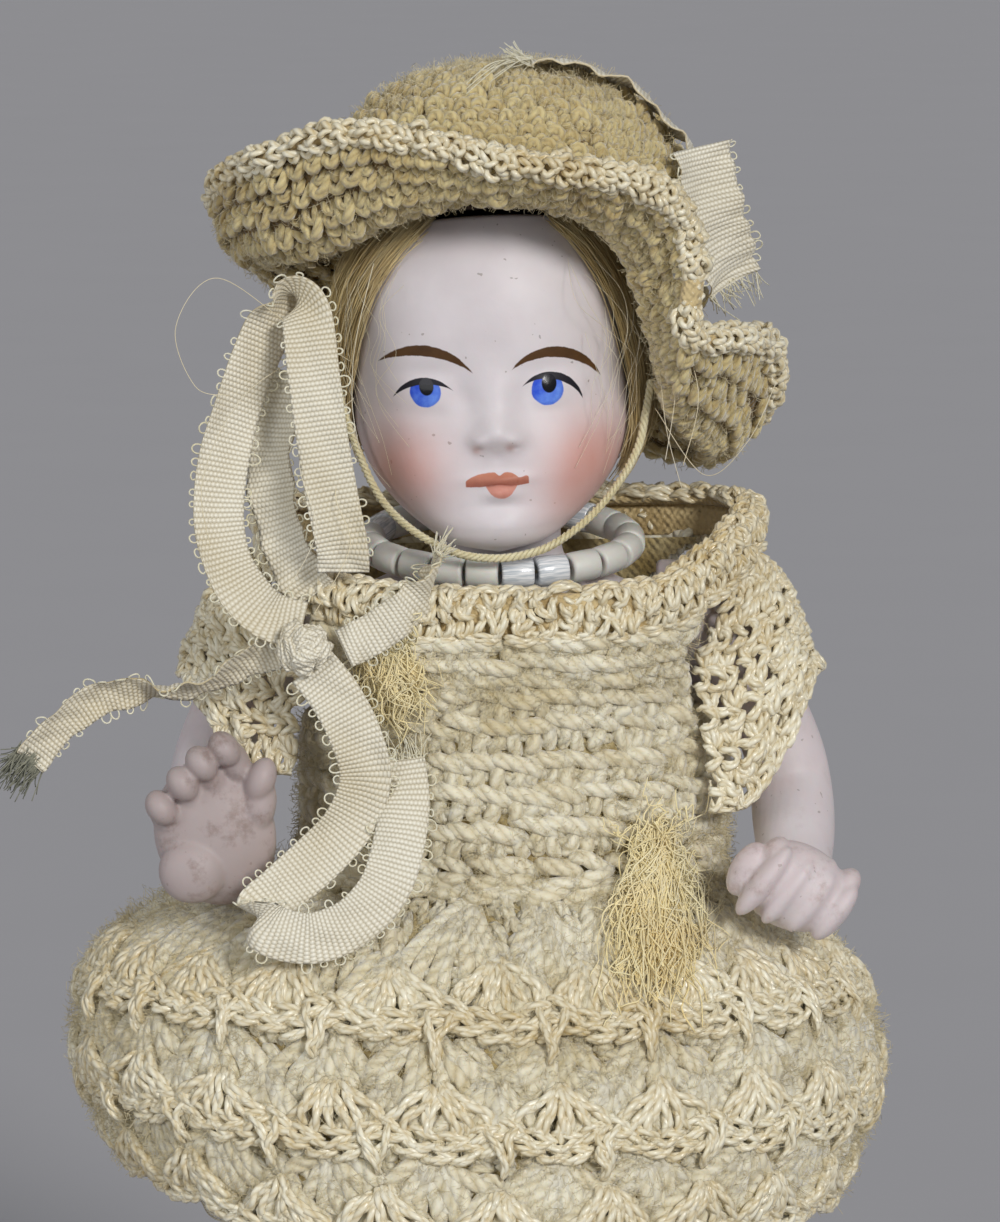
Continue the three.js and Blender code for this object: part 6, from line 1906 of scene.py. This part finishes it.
def make_sleeves():
    silk = silk_material()
    for side, lows, mirror in SLEEVES:
        surface = sleeve_surface(*lows, mirror)
        yarn = Strands()
        rows = np.linspace(0.04, 0.97, SLEEVE_TIERS + 1)
        chain = in_one_yarn(CHAIN_STITCH, 0.44)
        for k in range(SLEEVE_TIERS):
            low = rows[k] + (rows[k + 1] - rows[k]) * 0.55
            crochet(yarn, surface, 12, rows[k], low, in_one_yarn(SLEEVE_POSTS, 0.44), steps=8, sides=5,
                    lift=0.1, jitter=0.14, offset=0.25 * (k % 2), plies=2)
            crochet(yarn, surface, 17, low - 0.02, rows[k + 1] + 0.02, chain, steps=8, sides=5, lift=0.45,
                    jitter=0.12, plies=2)
        crochet(yarn, surface, 10, 0.92, 1.04, SLEEVE_EDGE, steps=12, sides=5, lift=0.1, jitter=0.12,
                plies=2)
        sleeve = yarn.build(f"{side}_sleeve_silk", silk)
        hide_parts(f"{side}_sleeve")
        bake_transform(sleeve)


# Skirt rows [z, left x, right x, front y, back y]
SKIRT_ROWS = [
    [66.0, -16.9, 18.9, -13.0, 12.6], [64.2, -22.5, 20.6, -14.6, 14.4], [62.2, -29.0, 23.6, -17.0, 17.2],
    [59.4, -33.2, 27.6, -19.6, 19.8], [56, -35.3, 30.4, -21.8, 22], [51.5, -36, 32.1, -23.8, 23.8],
    [47, -35.6, 31.9, -25.2, 25], [43, -34.2, 30.6, -26.1, 25.7], [39, -32.2, 28.8, -26.6, 26],
]
SKIRT_TOP_Z = 66.0
SKIRT_HEM_Z = 39.0
SKIRT_HEM_LIFT = 3.4
SHELL_COUNT = 22
WAIST_STITCHES = 40
FILL_STITCHES = 84
FILL_ROWS = 17  # rows of low stitches behind the shells
FILL_ROW = 1.6
SKIRT_FIBRES = 24000
SHELL_DEPTH = 1.3
SKIRT_YARN_INSET = 1.0  # from the outer face in to the middle of the yarn


def skirt_points(turn, z, inset=0.0):
    x, y = skewed(turn, *np.moveaxis(profile(SKIRT_ROWS, z), -1, 0), inset)
    low = (SKIRT_TOP_Z - z) / (SKIRT_TOP_Z - SKIRT_HEM_Z)
    lift = SKIRT_HEM_LIFT * ease(-x, 14, 32) * low**2
    scallop = SHELL_DEPTH * (np.abs(np.sin(SHELL_COUNT * turn / 2)) - 0.5) * np.maximum(low, 0) ** 4
    return np.stack(np.broadcast_arrays(x, y, z + lift - scallop), -1)


def skirt_surface():
    turn = full_turn(176)
    z = np.linspace(SKIRT_TOP_Z, SKIRT_HEM_Z, 19)[:, None]
    return Surface(skirt_points(turn, z, SKIRT_YARN_INSET))


def at_height(z):
    return (SKIRT_TOP_Z - z) / (SKIRT_TOP_Z - SKIRT_HEM_Z)


def fan(posts, spread, length, radius, height):
    """A shell's posts, spread from one stitch at the top centre."""
    pattern = []
    for t in np.arange(posts) / (posts - 1) * 2 - 1:
        reach = length * (1 - 0.3 * abs(t) ** 2)
        points = [[0.5 + 0.05 * t, -0.02, -0.1], [0.5 + 0.34 * spread * t, reach * 0.3, height],
                  [0.5 + 0.78 * spread * t, reach * 0.7, height * 1.15],
                  [0.5 + spread * t, reach, height * 0.3]]
        pattern.append((points, radius))
    return pattern


WOOL_FAN = fan(7, 0.5, 1.1, 0.8, 0.5)
SILK_FAN = fan(7, 0.45, 0.86, 0.5, 0.6)
SPIKES = [
    ([[-0.13, 0.62, 0.5], [-0.06, 0.88, 0.9], [-0.01, 1.1, 0.9], [0.0, 1.4, 0.2]], 0.4),
    ([[0.13, 0.62, 0.5], [0.06, 0.88, 0.9], [0.03, 1.08, 0.9], [0.03, 1.34, 0.2]], 0.4),
    ([[-0.05, 0.9, 0.8], [-0.03, 1.1, 1.0], [-0.02, 1.3, 0.8], [-0.02, 1.5, 0.1]], 0.36),
]


BRAID_STITCHES = 4  # to each shell


def scalloped_chain(strands, surface, v, depth, radius, lift, offset):
    """A V-chain braid that dips below each shell and rises between them."""
    steps = 8
    total = SHELL_COUNT * BRAID_STITCHES
    for points in CHAIN_STITCH:
        path = smooth_path(points, steps)
        wobble = chance.normal(0, 0.05, (total, 1, 2))
        x = np.arange(total)[:, None] + path[:, 0] + wobble[..., 0]
        u = (x / BRAID_STITCHES + offset) / SHELL_COUNT
        dip = np.abs(np.sin(math.pi * (u * SHELL_COUNT - offset)))
        y = v + depth * dip + (path[:, 1] - 0.5 + wobble[..., 1]) * 2.2 * radius * 2 / surface.drop()
        centers, normals = surface.lifted(u, y, path[:, 2] + lift)
        strands.wind(centers, normals, tapered(radius, steps), 5, 2)


WOOL_TIERS = [  # top z, bottom z, shells across from the first
    (65.2, 58.6, 0.0), (61.4, 55.0, 0.5), (55.6, 50.2, 0.0), (51.6, 46.0, 0.5), (46.6, 41.4, 0.0),
    (43.0, 38.9, 0.5),
]


def make_skirt():
    surface = skirt_surface()
    wool = wool_material("skirt_wool")
    yarn = Strands()
    crochet(yarn, surface, WAIST_STITCHES, at_height(66.8), at_height(64.9),
            in_one_yarn(CHAIN_STITCH, 0.7), sides=8, lift=0.3, jitter=0.08)
    for k in range(FILL_ROWS):
        top, bottom = at_height(65.4 - FILL_ROW * k), at_height(63.6 - FILL_ROW * k)
        crochet(yarn, surface, FILL_STITCHES, top, bottom, in_one_yarn(LUMP_STITCH, 0.58), steps=6, sides=5,
                offset=0.4 * k, lift=-0.2, jitter=0.12)
    for k, (top, bottom, offset) in enumerate(WOOL_TIERS):
        lift = 0.0 if k % 2 else -0.25
        crochet(yarn, surface, SHELL_COUNT, at_height(top), at_height(bottom), WOOL_FAN, steps=11,
                sides=7, lift=lift, offset=offset, jitter=0.05)
    yarn.lay("skirt_crochet", wool, "skirt", slot="wool")
    # The sheet under the skirt's stitches is dark: painted shade seen between them.
    shade_sheet = backing("skirt_shade_sheet", surface, wool_shade_backing(), (-0.1, -1.0), 352, 40)
    fasten(shade_sheet, "skirt", slot="wool")
    fluff = Strands()
    fuzz(fluff, surface, SKIRT_FIBRES, 0.85, 1.4)
    fluff.lay("skirt_fuzz", fibre_material("skirt_fibre"), slot="wool")
    make_silk_bands(surface)


SILK_BANDS = [  # name, node, top z, bottom z, shells across from the first, spiked
    ("upper", "silk_band_upper", 60.4, 55.4, 0.5, True),
    ("lower", "silk_band_lower", 51.4, 46.4, 0.0, True),
    ("hem", "hem_edging", 43.0, 38.6, 0.5, False),
]


def make_silk_bands(surface):
    silk = silk_material()
    for label, node, top, bottom, offset, spiked in SILK_BANDS:
        yarn = Strands()
        crochet(yarn, surface, SHELL_COUNT, at_height(top), at_height(bottom), SILK_FAN, steps=12, sides=5,
                lift=0.55 if label == "upper" else 0.95, offset=offset, jitter=0.05, plies=2)
        if spiked:
            crochet(yarn, surface, SHELL_COUNT, at_height(top), at_height(bottom), SPIKES, steps=11,
                    sides=5, lift=0.95, offset=offset, jitter=0.045, plies=2)
        depth = at_height(bottom) - at_height(top)
        base = at_height(top) + depth * 0.66
        for row, shift in ((0.0, 0.0), (0.2, 0.12)):
            scalloped_chain(yarn, surface, base + depth * (row - 0.02), depth * 0.2, 0.44,
                            1.1 - 0.3 * row, offset + shift)
        yarn.lay(f"silk_shells_{label}", silk, node, slot="silk")


# Petticoat: gathered net under the skirt, sewn to a narrow band at the waist
PETTICOAT_FOLDS = 11
PETTICOAT_DROP = 2.4
PETTICOAT_INSET = 4.05
WAISTBAND_TOP_Z = 64.4
WAISTBAND_HEIGHT = 2.2
WAISTBAND_EASE = 0.9
WAISTBAND_THICKNESS = 1.0
NET_THICKNESS = 0.12
NET_GRID = (440, 40)


def waist_ring():
    half, front, back = profile(TORSO_SLICES, WAISTBAND_TOP_Z - WAISTBAND_HEIGHT)
    out = WAISTBAND_EASE + WAISTBAND_THICKNESS / 2
    return half + out, front - out, back + out


def net_material():
    """Cotton net: round meshes between twisted threads, and a dust of age."""
    s = Shader("petticoat_net")
    x, y = s.uv()
    mesh = 0.8
    waves = (x * (TAU / mesh)).sin() * (y * (TAU / mesh)).sin()
    solid = 1 - abs(waves).step(0.28, 0.42)
    color = s.mix(s.noise(260, 3), (236, 228, 206), (206, 194, 164))
    return s.finish(Base_Color=color, Roughness=0.9, Alpha=solid * 0.75 + 0.25,
                    Normal=s.bump(solid, 0.04 * MM))


def make_petticoat():
    half, front, back = waist_ring()
    columns, rows = NET_GRID
    turn = full_turn(columns)
    t = np.linspace(0, 1, rows)[:, None]
    top = WAISTBAND_TOP_Z - WAISTBAND_HEIGHT - GAP
    folds = np.cos(PETTICOAT_FOLDS * turn) * 0.5 + 0.32 * np.cos(37 * turn + 1.2 * np.sin(3 * turn))
    z = top + (SKIRT_HEM_Z - top) * t
    shell = skirt_points(turn, z, PETTICOAT_INSET - folds * t * 0.8)
    shell[..., 2] -= PETTICOAT_DROP * t**2
    waist_y = np.where(np.cos(turn) > 0, front * np.cos(turn), -back * np.cos(turn))
    waist = np.stack([half * np.sin(turn), waist_y, np.full_like(turn, top)], -1)
    blend = ease(t, -0.1, 0.45)[..., None]
    points = waist + (shell - waist) * blend
    surface = Surface(points)
    faces = (NET_THICKNESS / 2, -NET_THICKNESS / 2)
    net = backing("petticoat_net", surface, net_material(), faces, columns, rows)
    fasten(net, "petticoat", slot="net")
    length = surface.drop()
    width = surface.girth(0.98)
    area = net_area(surface)
    make_waistband()


def net_area(surface):
    u, v = [np.linspace(0, 1, count + 1) for count in NET_GRID]
    grid = surface.at(u[None, :], v[:, None])
    across, down = np.diff(grid, axis=1)[:-1], np.diff(grid, axis=0)[:, :-1]
    return float(np.linalg.norm(np.cross(across, down), axis=2).sum())


def make_waistband():
    half, front, back = waist_ring()
    turn = full_turn(96)
    rows = [skew_ring([WAISTBAND_TOP_Z - down, -half, half, front, back], turn)
            for down in np.linspace(0, WAISTBAND_HEIGHT, 5)]
    lifts = (WAISTBAND_THICKNESS / 2, -WAISTBAND_THICKNESS / 2)
    linen = cloth_material("waistband_linen", (214, 206, 180), (184, 170, 136), 0.5, 0.12)
    fasten(backing("waistband_tape", Surface(rows), linen, lifts, 96, 9),
           "petticoat_waistband", slot="linen")


# Tassels: tufts of floss tied down on the dress
def dress_front(x, z):
    x, z = np.broadcast_arrays(np.asarray(x, float), np.asarray(z, float))
    left, right, front = np.moveaxis(profile(BODICE_ROWS, z)[..., :3], -1, 0)
    low_left, low_right, low_front = np.moveaxis(profile(SKIRT_ROWS, z)[..., :3], -1, 0)
    skirt = z < SKIRT_TOP_Z
    right, left, front = (np.where(skirt, low, high) for low, high in
                          ((low_right, right), (low_left, left), (low_front, front)))
    side = np.where(x > 0, right, -left)
    return front * np.sqrt(np.maximum(1 - (x / side) ** 2, 0.05))


FLOSS_RADII = (0.035, 0.08)
TASSEL_LIFT = 1.2  # off the dress's rows


def tassel(name, node, knot, fall, width, count, finish):
    """knot is [x, z]; the crinkled floss falls by fall millimetres and spreads to width each side."""
    tuft = Strands()
    steps = 18
    t = np.linspace(0, 1, steps)
    lean = chance.normal(0, 0.5, (count, 1))
    reach = fall * chance.uniform(0.35, 1.0, (count, 1))
    upward = chance.random((count, 1)) < 0.12
    reach = np.where(upward, -reach * 0.3, reach)
    phase, swing = chance.uniform(0, TAU, (count, 1)), chance.normal(0, 0.55, (count, 1))
    start = chance.normal(0, 0.16, (2, count, 1)) * width
    crimp = smooth_path(chance.normal(0, 0.55, (count, 7, 3)), steps)
    x = knot[0] + start[0] + width * np.tanh(lean) * t**0.7 + swing * np.sin(t * 6 + phase) * t
    x = x + crimp[..., 0]
    z = knot[1] + start[1] * 1.4 - reach * t + 0.5 * np.sin(t * 8 + phase * 2) * t + crimp[..., 2]
    out = TASSEL_LIFT + chance.uniform(0.05, 1.6, (count, 1)) * np.sin(np.pi * t**0.6) ** 0.8
    loose = chance.random((count, 1)) < 0.15
    out = out + loose * t**2 * chance.uniform(0.3, 2.4, (count, 1))
    y = dress_front(x, z) - out
    paths = np.stack([x, y, z], -1)
    radii = chance.uniform(*FLOSS_RADII, (count, 1))
    tuft.add(paths, np.broadcast_to([0.0, -1.0, 0.0], paths.shape), radii, 4)
    tuft.lay(name, finish, node, slot="floss")


TASSELS = [  # node, knot, fall, width to each side, threads
    ("chest_tassel", (-9.4, 87.2), 7.0, 3.4, 420),
    ("waist_tassel", (13.2, 69.0), 10.6, 4.6, 560),
]


def make_tassels():
    floss = strand_material("floss", ((255, 250, 216), (255, 242, 188), (255, 228, 154)), 0.4, 0.6)
    for node, knot, fall, width, count in TASSELS:
        tassel(f"{node}_floss", node, knot, fall, width, count, floss)


make_camera()
make_studio()
make_head_and_torso()
make_arms()
make_legs()
make_wires()
make_scalp()
make_hair()
make_hat()
make_chin_cord()
make_ribbons()
make_necklace()
make_bodice()
make_sleeves()
make_skirt()
make_petticoat()
make_tassels()
